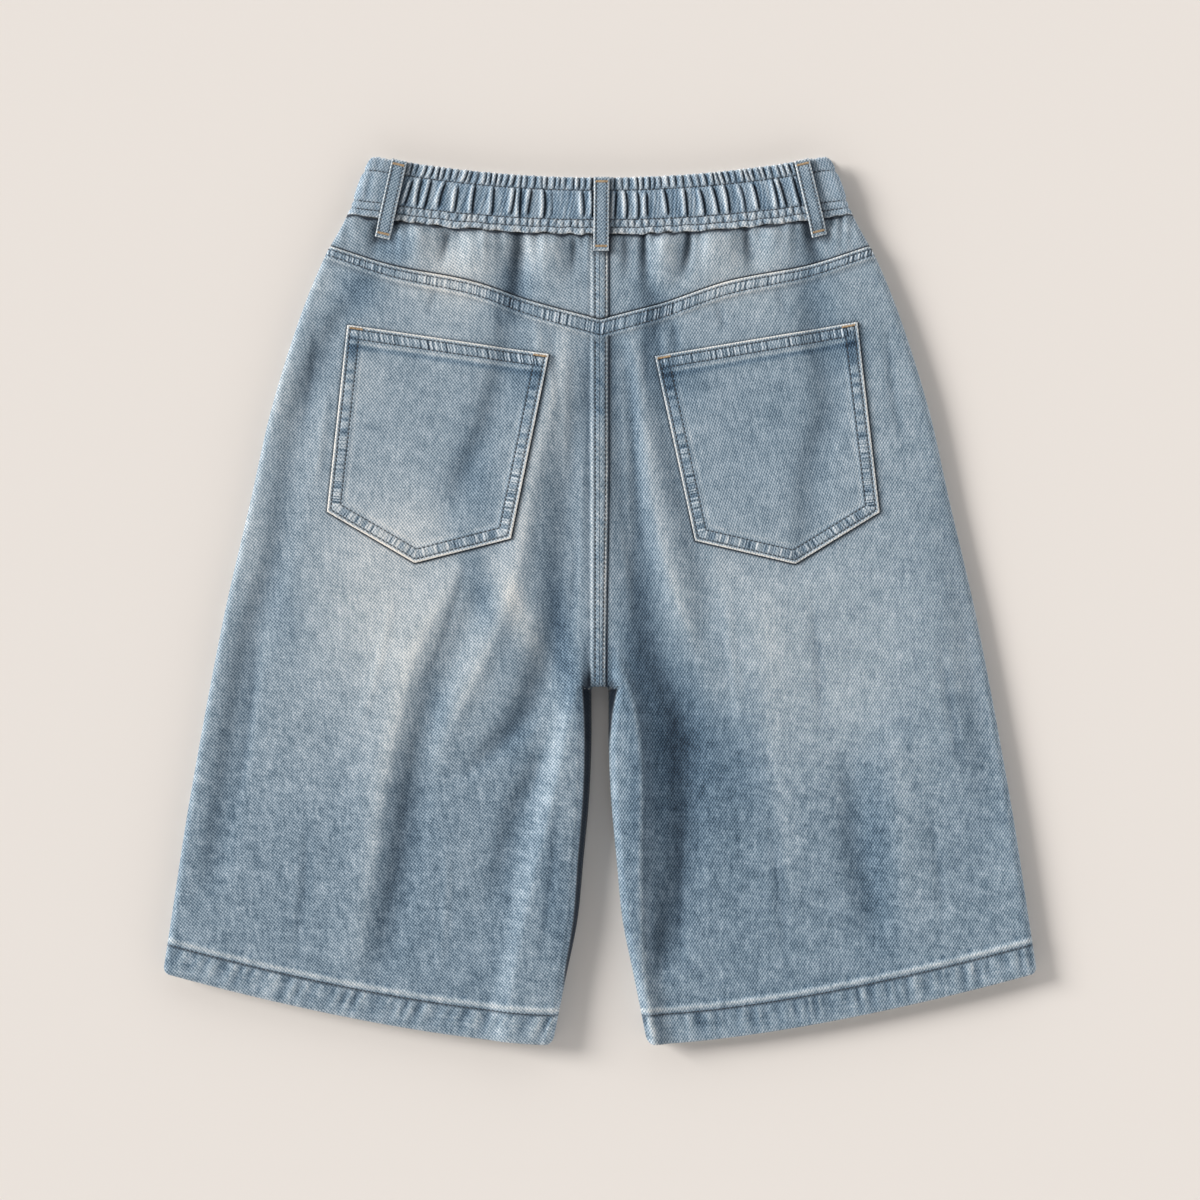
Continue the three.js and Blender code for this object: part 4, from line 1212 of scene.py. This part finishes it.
def yoke_half(name, hand, material):
    side_top = float(waist_seam_y(WAIST_SEAM["half"]))
    side_low = float(yoke_seam_y(YOKE_SEAM[-1][0]))
    t = np.concatenate([np.linspace(0, 0.1, 9), np.linspace(0.13, 0.92, 27), np.linspace(0.94, 1, 6)])
    half = side_x(lerp(side_top, side_low, t))
    distances = across_steps(half - SEAM_GAP / 2, 1.4, centre_steps(hand))
    across = half[:, None] - distances
    y = lerp(waist_seam_y(across), yoke_seam_y(across), t[:, None])
    y += SEAM_GAP / 2 * (2 * t[:, None] - 1)
    x = hand * across
    relief, tone, shade = yoke_looks(x, y)
    outer, inner = upper_wall(x, y, yoke_height(x, y), CLOTH, relief)
    return shell(name, outer, inner, panel_looks(x, y, hand * 9, 300, tone, shade), material)


# The hidden front
FRONT_CREASES = [
    (-40, 500, -95, 220, 10, 14, 0.8), (-120, 420, -170, 120, -12, 18, 0.7), (-20, 260, -70, 40, 6, 12, 0.9),
    (-210, 480, -250, 150, -6, 16, 0.6), (36, 510, 84, 250, -8, 13, 0.9), (96, 360, 118, 90, 6, 18, 0.6),
    (14, 250, 52, 30, -4, 12, 0.8), (190, 440, 236, 130, 5, 17, 0.7), (150, 540, 170, 380, 4, 12, 0.6),
]


FRONT_TONE = {"base": BASE_TONE - 0.03, "patches": 0.8}
FRONT_BODY = {
    "lift": (1, -0.06, 0), "puckers": (0.25, 0, 0), "swell": (0, 0.08, 0),
    "row": (0.3, -0.06, 0), "seam": (0.3, -0.06, 0), "ridge": (0, 0.12, 0),
}


def front_looks(x, y):
    """Relief and tone underneath: soft creases that lift off the surface, hem and centre seam."""
    up = y - hem_y(x)
    swell = pucker(x - 0.3 * up, 10.0, 5.2) * ease(HEM_ROW, HEM_ROW - 2.5, up) * ease(0, 6, up)
    row_width = SEAM_ROW[0][1]
    relief, tone, _ = weighed(
        FRONT_BODY, lift=crease_height(FRONT_CREASES, x, y), swell=swell,
        puckers=(1 + swell) * (np.abs(swell) > 0), row=bell((up - HEM_ROW) / row_width),
        seam=bell((np.abs(x) - 2.5) / row_width) * (y > CROTCH),
        ridge=bell((up - HEM_RIDGE["up"]) / HEM_RIDGE["width"]),
    )
    return relief, tone + FRONT_TONE["base"] + FRONT_TONE["patches"] * soft_patches(WASH_AND_PAINTED_LIGHT, -x, y)


def front_panel(name, hand, material):
    top_side = float(waist_seam_y(WAIST_SEAM["half"])) - SEAM_GAP / 2
    top_centre = float(waist_seam_y(0)) - SEAM_GAP / 2
    lines = panel_lines(top_side, top_centre, 0)[::2]
    x, y = panel_grid(hand, lines, waist_seam_y, 3.4, [0, 0.5, 1.4, 2.4, 3.6, 5, 7])
    x, y = round_corners(x, y)
    relief, tone = front_looks(x, y)
    outer, inner = lower_wall(x, y, panel_wall(x, y), relief)
    return shell(name, outer, inner, panel_looks(x, y, hand * -3, 700, tone, 0 * x), material)


# Waistband
def band_place(column, up):
    """Place on the band: its ends are pinched at the stitch rows and rounded at the top."""
    side_low = waist_seam_y(WAIST_SEAM["half"]) + SEAM_GAP / 2
    y = lerp(side_low, SIDE[0][0], up)
    x = column / BAND_HALF * side_x(y)
    low = waist_seam_y(x) + SEAM_GAP / 2
    high = np.minimum(parabola(TOP_EDGE, x), SIDE[0][0])
    y = lerp(low, high, up)
    end = ease(BAND_HALF - 9, BAND_HALF, np.abs(column))
    pinch = sum(bell((up - row) / 0.05) for row in BAND_ROWS.values())
    corner = BAND_ENDS["corner"] * (1 - rounding(BAND_HALF - np.abs(column), 5.0)) * up ** 6
    return x - np.sign(x) * BAND_ENDS["pinch"] * end * pinch, y - corner


def uneven_places(start, end, pitch, seed):
    """Places along a gathered channel, and how strong each pleat is."""
    draws = np.random.default_rng(seed)
    places = []
    x = start
    while x < end:
        places.append((x, draws.uniform(0.55, 1.0)))
        x += pitch * draws.uniform(0.72, 1.32)
    return places


def pleats(column, share, places, shape):
    """Round ridges and the sharp creases on their right, each with its own lean, bow, start and end."""
    draws = np.random.default_rng(len(places))
    ridges, creases = np.zeros_like(column), np.zeros_like(column)
    for place, strength in places:
        lean, bow = draws.uniform(-1, 1, 2) * shape["lean"]
        low, high = draws.uniform(-0.6, 0.04), draws.uniform(0.96, 1.6)
        away = column - place - lean * (share - 0.5) - bow * 2 * share * (1 - share)
        reach = strength * ease(low, low + 0.25, share) * ease(high, high - 0.25, share)
        ridges += reach * bell(away / np.where(away < 0, shape["left"], shape["right"]))
        creases += reach * bell((away - shape["reach"]) / shape["crease"])
    return np.minimum(ridges, 1.1), np.minimum(creases, 1.1)


TOP_PLEATS = uneven_places(-171, 171, 4.9, 11)
LOW_PLEATS = uneven_places(-160, 160, 5.2, 23)
LIP_PLEATS = uneven_places(-160, 160, 6.4, 37)
# Channels of the band: where each starts and ends, its pleats, how high the ridges and deep the creases,
# floor tone, painted highlight on the ridges (pale), painted shade in the creases (dark), and the pleats'
# shape
CHANNELS = [
    {
        "from": -0.03, "to": "lip", "places": LIP_PLEATS,
        "ridge": 0.5, "deep": 0.8, "floor": 0.64, "pale": 0.16, "dark": 0.6,
        "shape": {"left": 1.7, "right": 1.2, "reach": 2.1, "crease": 0.65, "lean": 0.8},
    },
    {
        "from": "lip", "to": "strip", "places": LOW_PLEATS,
        "ridge": 0.7, "deep": 1.1, "floor": 0.58, "pale": 0.24, "dark": 0.8,
        "shape": {"left": 1.5, "right": 1.0, "reach": 1.8, "crease": 0.7, "lean": 0.8},
    },
    {
        "from": "strip", "to": "tunnel", "places": PLEATS,
        "ridge": 1.9, "deep": 2.0, "floor": 0.51, "pale": 0.32, "dark": 0.95,
        "shape": {"left": 1.5, "right": 0.95, "reach": 1.85, "crease": 0.85, "lean": 1.7},
    },
    {
        "from": "tunnel", "to": 1.03, "places": TOP_PLEATS,
        "ridge": 1.3, "deep": 1.7, "floor": 0.53, "pale": 0.3, "dark": 0.92,
        "shape": {"left": 1.4, "right": 0.9, "reach": 1.7, "crease": 0.75, "lean": 1.2},
    },
]


GATHERED = {"pinch": 3.2, "wrinkles": 0.22, "loose": 0.25, "blotch": 0.1, "wrinkle_tone": 0.09}
CROWN = {"rise": 0.9, "spread": 0.3, "lowered": 0.5}
BAND_RIM = {"width": 1.2, "tone": 0.14}


def band_looks(column, up):
    """Relief, tone and shade of the gathered band, channel by channel, with painted highlight on the pleats'
    ridges and painted shade in their creases.
    """
    gathered = ease(BAND_ENDS["from"], BAND_ENDS["to"], np.abs(column))
    relief, tone, shade = (np.zeros_like(column) for _ in range(3))
    for k, channel in enumerate(CHANNELS):
        low = BAND_ROWS.get(channel["from"], channel["from"])
        high = BAND_ROWS.get(channel["to"], channel["to"])
        inside = (up >= low) & (up < high)
        share = np.clip((up - low) / (high - low), 0, 1)
        ridges, creases = pleats(column, share, channel["places"], channel["shape"])
        reach = GATHERED["pinch"] / BAND_HEIGHT
        pinch = ease(0, reach, up - low) * ease(0, reach, high - up)
        loose = GATHERED["loose"] * pucker(column + 3 * share, 7.0, 2.0) * (1 - gathered) * pinch
        part = (channel["ridge"] * ridges - channel["deep"] * creases) * gathered * (0.25 + 0.75 * pinch)
        wrinkles = pucker(column + 1.5 * np.sin(3 * share + k), 3.7, 1.7 + k) * gathered * (1 - 0.8 * ridges)
        relief += inside * (part + loose + GATHERED["wrinkles"] * wrinkles)
        blotch = GATHERED["blotch"] * pucker(column + 5 * share, 15.0, 0.4 + k)
        blotch = blotch + GATHERED["wrinkle_tone"] * wrinkles
        # Painted highlight on the pleats' ridges
        pale = channel["pale"] * ridges * (0.55 + 0.45 * pinch) * gathered
        floor = lerp(0.6 + 0.2 * loose, channel["floor"] + blotch, gathered)
        tone += inside * (floor + pale + 0.05 * (1 - pinch))
        # Painted shade in the pleats' creases
        shade += inside * channel["dark"] * creases * (0.35 + 0.65 * gathered) * (0.55 + 0.45 * pinch)
    crown = CROWN["rise"] * bell((up - 0.5) / CROWN["spread"]) - CROWN["lowered"]
    edge = np.minimum(up, 1 - up) * BAND_HEIGHT
    tone = tone + BAND_RIM["tone"] * bell(edge / BAND_RIM["width"])
    rows = (stitched_row((up - row) * BAND_HEIGHT) for row in BAND_ROWS.values())
    return summed((relief + crown, tone, np.clip(shade, 0, DARKEST)), *rows)


def band_top(column, up):
    relief = band_looks(column, up)[0]
    x, y = band_place(column, up)
    return upper_wall(x, y + edge_waves(column, up), BAND_TOP, BAND_WALL, relief)[0]


def edge_waves(column, up):
    """The low edge rides up and down over the gathers, and the top edge is scalloped by its pleats."""
    low = -low_edge_wave(column) * ease(166, 150, np.abs(column)) * (1 - up) ** 6
    ridges = pleats(column, 0.6 + 0 * up, TOP_PLEATS, CHANNELS[3]["shape"])[0]
    return low + SCALLOPS["height"] * (ridges - SCALLOPS["middle"]) * up ** 12


def waistband_back(name, material):
    inner_columns = np.arange(-BAND_HALF + EDGE_STEPS[-1], BAND_HALF - EDGE_STEPS[-1] + 0.01, 0.55)
    ends = BAND_HALF - np.array(EDGE_STEPS[:-1])
    columns = np.concatenate([-ends, inner_columns, ends[::-1]])
    ups = np.concatenate([[0, 0.008, 0.02], np.linspace(0.04, 0.96, 50), [0.98, 0.992, 1]])
    column, up = np.meshgrid(columns, ups)
    x, y = band_place(column, up)
    relief, tone, shade = band_looks(column, up)
    shade = np.clip(shade + loop_shade(x, y), 0, DARKEST)
    y = y + edge_waves(column, up)
    round_off = LIP_DEPTH * (1 - rounding(np.minimum(up, 1 - up) * BAND_HEIGHT, LIP_DEPTH))
    outer, inner = upper_wall(x, y, BAND_TOP, BAND_WALL, relief - round_off)
    looks = {
        "cloth": flat_cloth(column, up * BAND_HEIGHT, 0, 1200), "tone": tone, "shade": shade,
        "marble": np.full_like(x, MARBLE["band"]),
    }
    return shell(name, outer, inner, looks, material)


def waistband_front(name, material):
    ends = BAND_HALF - np.array(EDGE_STEPS[:-1])
    columns = np.concatenate([-ends, np.linspace(-165, 165, 221), ends[::-1]])
    column, up = np.meshgrid(columns, np.linspace(0, 1, 28))
    x, y = band_place(column, up)
    folds = 0.3 * (1 + pucker(column, 6.5, 4.0)) * plateau(up, 1, 0.1)
    outer, inner = lower_wall(x, y, BAND_WALL, folds)
    looks = {
        "cloth": flat_cloth(column, up * BAND_HEIGHT, 0, 1600), "tone": BASE_TONE - 0.2 * folds + 0.04,
        "shade": 0 * folds, "marble": np.full_like(x, MARBLE["band"]),
    }
    return shell(name, outer, inner, looks, material)


def rest_height(x, y, surface):
    """Height that a stiff patch rests at: near the highest cloth in its reach, clear of what is below."""
    steps = (-REST_REACH, 0, REST_REACH)
    reach = np.array([surface(x + dx, y + dy) for dx in steps for dy in steps])
    near_highest = np.log(np.mean(np.exp(2 * (reach - LAID_TOP)), 0)) / 2 + LAID_TOP
    return np.maximum(near_highest, surface(x, y))


# Pockets
POCKET_ROWS = (2.6, 9.3)
POCKET_HEM = 10.4
POCKET_TURN = 11.6
# What each feature of a pocket adds of relief, tone and shade; dents is painted shade in the dents of its
# puckers
POCKET_BODY = {
    "turned": (1, 0, 0), "spots": (0.22, 0, 0), "pale_spots": (0, 0.2, 0), "dents": (0, 0, 0.12),
    "rim": (0, 0.38, 0), "hem_line": (0, 0.12, 0), "under_hem": (0, -0.17, 0),
    "turn_line": (0, 0.07, 0), "corner": (0, -0.26, 0),
}


def mix(a, b, t):
    return np.stack([lerp(a[0], b[0], t), lerp(a[1], b[1], t)], -1)


def pocket_edges(corners, x, y):
    """Distance in from the top edge, distance in from the others, and the place along the nearest one."""
    points = list(corners.values())
    hand = 1 if corners["top_in"][0] > corners["top_out"][0] else -1
    distances, places = [], []
    walked = 0.0
    for (ax, ay), (bx, by) in zip(points, points[1:] + points[:1]):
        length = math.hypot(bx - ax, by - ay)
        distances.append(hand * ((x - ax) * (by - ay) - (y - ay) * (bx - ax)) / length)
        places.append(walked + ((x - ax) * (bx - ax) + (y - ay) * (by - ay)) / length)
        walked += length
    others = np.array(distances[1:])
    k = others.argmin(0)[None]
    along = np.take_along_axis(np.array(places[1:]), k, 0)[0]
    return distances[0], others.min(0), along


def pocket_looks(corners, x, y):
    """Relief, tone and shade of a patch pocket: turned edges with two stitch rows, and a deep hem on top."""
    top, edge, along = pocket_edges(corners, x, y)
    first, second = POCKET_ROWS
    rim = np.minimum(top, edge)
    turned = 0.45 * ease(POCKET_TURN, POCKET_TURN - 1.4, edge) + 0.5 * ease(POCKET_HEM + 1, POCKET_HEM, top)
    bottom = ease(0.35, 0.75, (corners["top_out"][1] - y) / 150)
    spots = pucker(along, 9.5, 1.7) * plateau(edge - first, second - first, 1.8)
    hem = plateau(top - first + 0.6, second - first + 1.2, 1.2) * ease(first, first + 2, edge)
    patchy = np.clip(0.9 + 0.5 * pucker(x, 41.0, 0.2), 0.45, 1.3)
    side = plateau(edge - first, second - first, 1.4) * bottom * (top > POCKET_HEM)
    low, off_edge = top > POCKET_HEM, edge > 2
    body = weighed(
        POCKET_BODY, turned=np.minimum(turned, 0.75), spots=spots, pale_spots=np.minimum(0.3, spots),
        dents=np.maximum(0, -spots), rim=bell((rim - 0.45) / 0.85),
        hem_line=bell((top - POCKET_HEM - 1.6) / 1.2) * off_edge,
        under_hem=bell((top - POCKET_HEM - 4.6) / 1.8) * off_edge * low,
        turn_line=bell((edge - POCKET_TURN - 1.0) / 1.0) * low,
        corner=bell((edge - 5.5) / 6) * bell((top - 16) / 7),
    )
    bars = np.where(hem > 0, x + 0.2 * y, along), hem * patchy + 0.7 * side
    looks = [(0, tone_of_wash_and_painted_light(x, y), valley_shade(x, y)), body]
    for row in POCKET_ROWS:
        for place, inside in ((top, edge > first - 0.5), (edge, top > first - 0.5)):
            looks.append([part * inside for part in stitched_row(place - row)])
    return summed(*looks), rim, bars


def pocket_base(x, y):
    return rest_height(x, y, laid_height) + POCKET_GAP


def pocket_top(corners, x, y):
    (relief, _, _), rim, _ = pocket_looks(corners, x, y)
    return np.stack([x, y, pocket_base(x, y) + CLOTH * (0.5 + 0.5 * rounding(rim, 1.0)) + relief], -1)


def patch_pocket(name, corners, material):
    edge = np.concatenate([[0, 0.25, 0.6, 1.1, 1.7], np.arange(2.3, 13.5, 0.65)])
    width = math.dist(corners["top_out"], corners["top_in"])
    depth = math.dist(corners["top_out"], corners["low_out"])
    across, down = (
        np.concatenate([edge / size, np.linspace(14 / size, 1 - 14 / size, 80), 1 - edge[::-1] / size])
        for size in (width, depth)
    )
    a, d = np.meshgrid(across, down)
    top = mix(corners["top_out"], corners["top_in"], a)
    low_outer = mix(corners["low_out"], corners["tip"], a * 2)
    low_inner = mix(corners["tip"], corners["low_in"], a * 2 - 1)
    places = lerp(top, np.where((a < 0.5)[..., None], low_outer, low_inner), d[..., None])
    x, y = places[..., 0], places[..., 1]
    outer = pocket_top(corners, x, y)
    inner = np.stack([x, y, pocket_base(x, y)], -1)
    (_, tone, shade), _, bars = pocket_looks(corners, x, y)
    run_x, run_y = (corners["top_in"][k] - corners["top_out"][k] for k in (0, 1))
    turn = math.degrees(math.atan(run_y / run_x))
    looks = panel_looks(x, y, -turn, 2000, tone, shade)
    looks["bars"] = bars
    return shell(name, outer, inner, looks, material)


# Belt loops
LOOP_ROW = 3.7
LOOP_LINES = [(4.7, 0.8, 0.35, 0, 0), (LOOP_ROW, 0.6, -0.3, 0, 0)]
LOOP_RIM = {"share": 0.45, "depth": 1.2}

# Where the loop's bar tacks press it down, as a share of its length from each end
TACK_SHARE = 0.065
LOOP_TACK_DENT = [(TACK_SHARE, 0.03, -0.5, 0, 0)]


def band_or_yoke(x, y):
    on_band = y > waist_seam_y(x) - 1
    on_seam = np.abs(x) < EDGE_DEPTH
    return np.where(on_band, BAND_TOP + 1.5, yoke_height(x, y) + np.where(on_seam, FELL_RISE, 0))


def loop_place(ends, across, down):
    """Places on a loop: across in millimetres from its middle line, down as a share of its length."""
    (top_x, top_y), (low_x, low_y) = ends
    length = math.dist(*ends)
    dx, dy = (low_x - top_x) / length, (low_y - top_y) / length
    return top_x + dx * length * down - dy * across, top_y + dy * length * down + dx * across


def loop_top(ends, across, down):
    x, y = loop_place(ends, across, down)
    base = loop_base(ends, down)
    relief = lines_along(np.abs(across), LOOP_LINES)[0]
    from_end = np.minimum(down, 1 - down)
    relief = relief + lines_along(from_end, LOOP_TACK_DENT)[0]
    rim = np.minimum(LOOP["width"] / 2 - np.abs(across), from_end * math.dist(*ends))
    wall = LOOP["wall"] * lerp(LOOP_RIM["share"], 1, rounding(rim, LOOP_RIM["depth"]))
    return np.stack([x, y, base + wall + relief], -1)


def loop_base(ends, down):
    """Height along a loop: it spans the step from the band to the yoke in one smooth bow."""
    t = np.linspace(0, 1, 61)
    x, y = loop_place(ends, np.zeros_like(t), t)
    z = rest_height(x, y, band_or_yoke) + LOOP["gap"]
    kernel = bell(np.linspace(-2, 2, 9))
    z = np.convolve(np.pad(z, 4, mode="edge"), kernel / kernel.sum(), mode="valid")
    return np.interp(down, t, z)


def belt_loop(name, ends, material):
    half = LOOP["width"] / 2
    steps = np.array([0, 0.25, 0.6, 1.1])
    across = np.concatenate([-half + steps, np.linspace(-3.9, 3.9, 14), half - steps[::-1]])
    length = math.dist(*ends)
    middle = np.linspace(2 / length, 1 - 2 / length, 50)
    down = np.concatenate([steps / length, middle, 1 - steps[::-1] / length])
    a, d = np.meshgrid(across, down)
    outer = loop_top(ends, a, d)
    x, y = loop_place(ends, a, d)
    inner = np.stack([x, y, loop_base(ends, d)], -1)
    rim = np.minimum(half - np.abs(a), np.minimum(d, 1 - d) * length)
    _, row_tone, row_shade = stitched_row(np.abs(a) - LOOP_ROW)
    looks = {
        "cloth": np.stack([a, d * length, np.zeros_like(a)], -1) + x.mean(),
        "tone": 0.53 + 0.26 * bell((rim - 0.4) / 0.7) + row_tone, "shade": row_shade,
        "marble": np.full_like(a, MARBLE["loop"]),
    }
    return shell(name, outer, inner, looks, material)


# Stitching
def walk(path, pitch, fill):
    """Starts and ends of stitches laid along a line of points."""
    steps = np.linalg.norm(np.diff(path, axis=0), axis=1)
    reach = np.concatenate([[0], np.cumsum(steps)])
    count = max(1, int(reach[-1] / pitch))
    begin = np.arange(count) * reach[-1] / count

    def points(offset):
        return np.stack([np.interp(begin + offset, reach, path[:, k]) for k in range(3)], -1)

    return points(0), points(fill)


def capsules(name, starts, ends, thick, material):
    """Short rounded threads, each sunk at its ends and proud in the middle."""
    around = 5
    share = np.array([0.0, 0.2, 0.8, 1.0])
    swell = np.array([0.45, 1.0, 1.0, 0.45])
    lift = np.array([-0.35, 0.25, 0.25, -0.35]) * thick
    run = ends - starts
    ahead = run / np.linalg.norm(run, axis=1)[:, None]
    side = np.cross(ahead, [0, 0, 1.0])
    side /= np.linalg.norm(side, axis=1)[:, None]
    above = np.cross(side, ahead)
    turn = np.arange(around) * 2 * math.pi / around
    ring = np.cos(turn)[:, None, None] * side + np.sin(turn)[:, None, None] * above
    ring = ring.transpose(1, 0, 2)
    middle = starts[:, None] + run[:, None] * share[None, :, None] + above[:, None] * lift[None, :, None]
    points = middle[:, :, None] + ring[:, None] * (thick / 2 * swell)[None, :, None, None]
    rings = len(share)
    at = np.arange(rings * around).reshape(rings, around)
    following = np.roll(at, -1, 1)
    sides = np.stack([at[:-1], following[:-1], following[1:], at[1:]], -1).reshape(-1, 4)
    fans = [[0, k + 1, k] for k in range(1, around - 1)]
    last = (rings - 1) * around
    fans += [[last, last + k, last + k + 1] for k in range(1, around - 1)]
    one = np.concatenate([sides[:, [0, 1, 2]], sides[:, [0, 2, 3]], fans])
    offset = np.arange(len(starts))[:, None, None] * rings * around
    triangles = (one[None] + offset).reshape(-1, 3)
    piece = new_mesh(name, points.reshape(-1, 3), triangles)
    piece.data.materials.append(material)
    return piece


def stitch_lines():
    """Every row of stitches, as lines of points on the cloth."""
    lines = []
    for hand in (-1, 1):
        leg = np.linspace(HEM["from"] + 2, HEM["to"] - 3, 400) * hand
        leg = leg[np.abs(leg) > inner_leg_x(hem_y(leg) + HEM_ROW) + 2]
        leg = leg[np.abs(leg) < side_x(hem_y(leg) + HEM_ROW) - 2]
        lines.append(back_top(leg, hem_y(leg) + HEM_ROW))
        yoke = np.linspace(0.5, 196, 300) * hand
        for inset in (YOKE_ROWS["from_top"], yoke_band_width(yoke) - YOKE_ROWS["from_low"]):
            lines.append(back_top(yoke, yoke_seam_y(yoke) - inset))
    yoke_tip = YOKE_SEAM[0][1]
    low, high = np.linspace(CROTCH + 4, yoke_tip - 15, 300), np.linspace(yoke_tip + 1, 570, 60)
    for row_low, row_high in zip(centre_row_places(low), centre_row_places(high)):
        lines.append(back_top(row_low, low))
        lines.append(yoke_top(row_high, high))
    column = np.linspace(-170, 170, 900)
    for row in BAND_ROWS.values():
        lines.append(band_top(column, np.full_like(column, row)))
    for corners in POCKETS.values():
        for row in POCKET_ROWS:
            lines += pocket_stitch_lines(corners, row)
    for ends in LOOPS.values():
        down = np.linspace(0.08, 0.92, 60)
        for across in (-LOOP_ROW, LOOP_ROW):
            lines.append(loop_top(ends, np.full_like(down, across), down))
    return lines


def yoke_top(x, y):
    return upper_wall(x, y, yoke_height(x, y), CLOTH, yoke_looks(x, y)[0])[0]


def inset_corners(corners, row):
    """The pocket's corners moved in by the same distance from every edge."""
    points = [np.array(corner, float) for corner in corners.values()]
    middle = np.mean(points, 0)
    moved = []
    for i, point in enumerate(points):
        normals = []
        for a, b in ((points[i - 1], point), (point, points[(i + 1) % 5])):
            run = (b - a) / np.linalg.norm(b - a)
            normal = np.array([-run[1], run[0]])
            normals.append(normal if normal @ (middle - a) > 0 else -normal)
        moved.append(point + np.linalg.solve(np.array(normals), [row, row]))
    return moved


def pocket_stitch_lines(corners, row):
    moved = inset_corners(corners, row)
    lines = []
    for a, b in zip(moved, moved[1:] + moved[:1]):
        t = np.linspace(0, 1, 160)
        x, y = lerp(a[0], b[0], t), lerp(a[1], b[1], t)
        lines.append(pocket_top(corners, x, y))
    return lines


def tack_stitches(middle, along, tack, surface):
    """Zigzag of a bar tack: middle of the bar, its direction, its sizes and the surface under it."""
    across = np.array([-along[1], along[0]])
    count = round(tack["length"] / TACK["pitch"])
    place = np.linspace(-tack["length"] / 2, tack["length"] / 2, count)
    lean = TACK["pitch"] * TACK["lean"]
    sides = []
    for sign in (-1, 1):
        xy = middle + place[:, None] * along + sign * (tack["height"] / 2 * across + lean / 2 * along)
        sides.append(surface(xy[:, 0], xy[:, 1]) + (0, 0, tack["proud"]))
    return sides


def bar_tacks():
    """Starts and ends of the threads of every bar tack."""
    tacks = []
    for places in LOOPS.values():
        top, low = (np.array(place, float) for place in places)
        down = (low - top) / np.linalg.norm(low - top)
        across = np.array([-down[1], down[0]])
        inward = down * LOOP_TACK["in"]
        for middle, share in ((top + inward, TACK_SHARE), (low - inward, 1 - TACK_SHARE)):
            height = loop_top(places, np.zeros(1), np.full(1, share))[0, 2]
            tacks.append(tack_stitches(
                middle, across, LOOP_TACK, lambda x, y: np.stack([x, y, x * 0 + height], -1),
            ))
    for corners in POCKETS.values():
        run = np.array(corners["top_in"], float) - corners["top_out"]
        run /= np.linalg.norm(run)
        for corner, sign in (("top_out", 1), ("top_in", -1)):
            middle = corners[corner] + run * sign * POCKET_TACK["in"] - (0, POCKET_TACK["down"])
            tacks.append(tack_stitches(middle, run, POCKET_TACK, lambda x, y: pocket_top(corners, x, y)))
    return [np.concatenate(side) for side in zip(*tacks)]


# The garment
pieces = {
    "waistband_back": waistband_back("waistband_back_cloth", BAND_DENIM),
    "waistband_front": waistband_front("waistband_front_cloth", BAND_DENIM),
}
for word, hand, material in (("left", -1, LEFT_DENIM), ("right", 1, RIGHT_DENIM)):
    pieces[f"yoke_{word}"] = yoke_half(f"yoke_{word}_cloth", hand, material)
    pieces[f"back_{word}"] = back_panel(f"back_{word}_cloth", hand, material)
    pieces[f"front_{word}"] = front_panel(f"front_{word}_cloth", hand, material)
    pocket = f"pocket_{word}"
    pieces[pocket] = patch_pocket(f"{pocket}_cloth", POCKETS[pocket], material)
for node, ends in LOOPS.items():
    pieces[node] = belt_loop(f"{node}_cloth", ends, LOOP_DENIM)

# Each piece hangs from the root body, and the imported part of the same name is hidden
for node, piece in pieces.items():
    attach(piece, "root")
    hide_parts(node)

rows = [walk(line, STITCH["pitch"], STITCH["length"]) for line in stitch_lines()]
sewing = capsules(
    "stitching", np.concatenate([row[0] for row in rows]), np.concatenate([row[1] for row in rows]),
    STITCH["thick"], THREAD,
)
tacks = capsules("bar_tacks", *bar_tacks(), TACK["thick"], TACK_THREAD)
for piece in (sewing, tacks):
    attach(piece, "root")

# Stage
bpy.ops.mesh.primitive_plane_add(size=FLOOR["size"], location=(0, 0, FLOOR["level"]))
floor = bpy.context.object
floor.name = "floor"
paper = Shader(bpy.data.materials.new("floor"))
paper.finish({"Base Color": srgb(*FLOOR["tone"]), **FLOOR_FINISH})
floor.data.materials.append(paper.owner)

sun_data = bpy.data.lights.new("sun", "SUN")
sun_data.energy = SUN["strength"]
sun_data.angle = math.radians(SUN["spread"])
sun_data.color = SUN["colour"]
sun = bpy.data.objects.new("sun", sun_data)
sun.rotation_euler = Vector(SUN["along"]).to_track_quat("-Z", "Y").to_euler()
bpy.context.collection.objects.link(sun)

# A room that is dim overhead and bright low down, a little more so on the side away from the sun
room = Shader(bpy.data.worlds.new("studio"), "Background")
way = room.node("ShaderNodeTexCoord", {}).outputs["Generated"]
up = room.node("ShaderNodeSeparateXYZ", {"Vector": way}).outputs["Z"]
low = room.math("SUBTRACT", 1.0, room.math("MULTIPLY", up, up))
low = room.math("POWER", room.math("MAXIMUM", low, 0.0), SKY["falloff"])
from_sun = -Vector((SUN["along"][0], SUN["along"][1], 0)).normalized() * SKY["side"]
side = room.node("ShaderNodeVectorMath", {0: way, 1: from_sun}, operation="DOT_PRODUCT").outputs["Value"]
glow = room.math("MULTIPLY", low, room.math("ADD", side, 1.0))
glow = room.math("MULTIPLY", glow, SKY["level"] * (SKY["falloff"] + 1))
room.finish({"Strength": glow, "Color": (1, 1, 1, 1)})
bpy.context.scene.world = room.owner

camera_data = bpy.data.cameras.new("camera")
camera_data.lens = VIEW["lens"]
camera_data.sensor_width = VIEW["sensor"]
camera = bpy.data.objects.new("camera", camera_data)
camera.location = (0, VIEW["middle_y"] * MM, VIEW["height"] * MM)
bpy.context.collection.objects.link(camera)
bpy.context.scene.camera = camera
bpy.context.scene.view_settings.view_transform = "Standard"
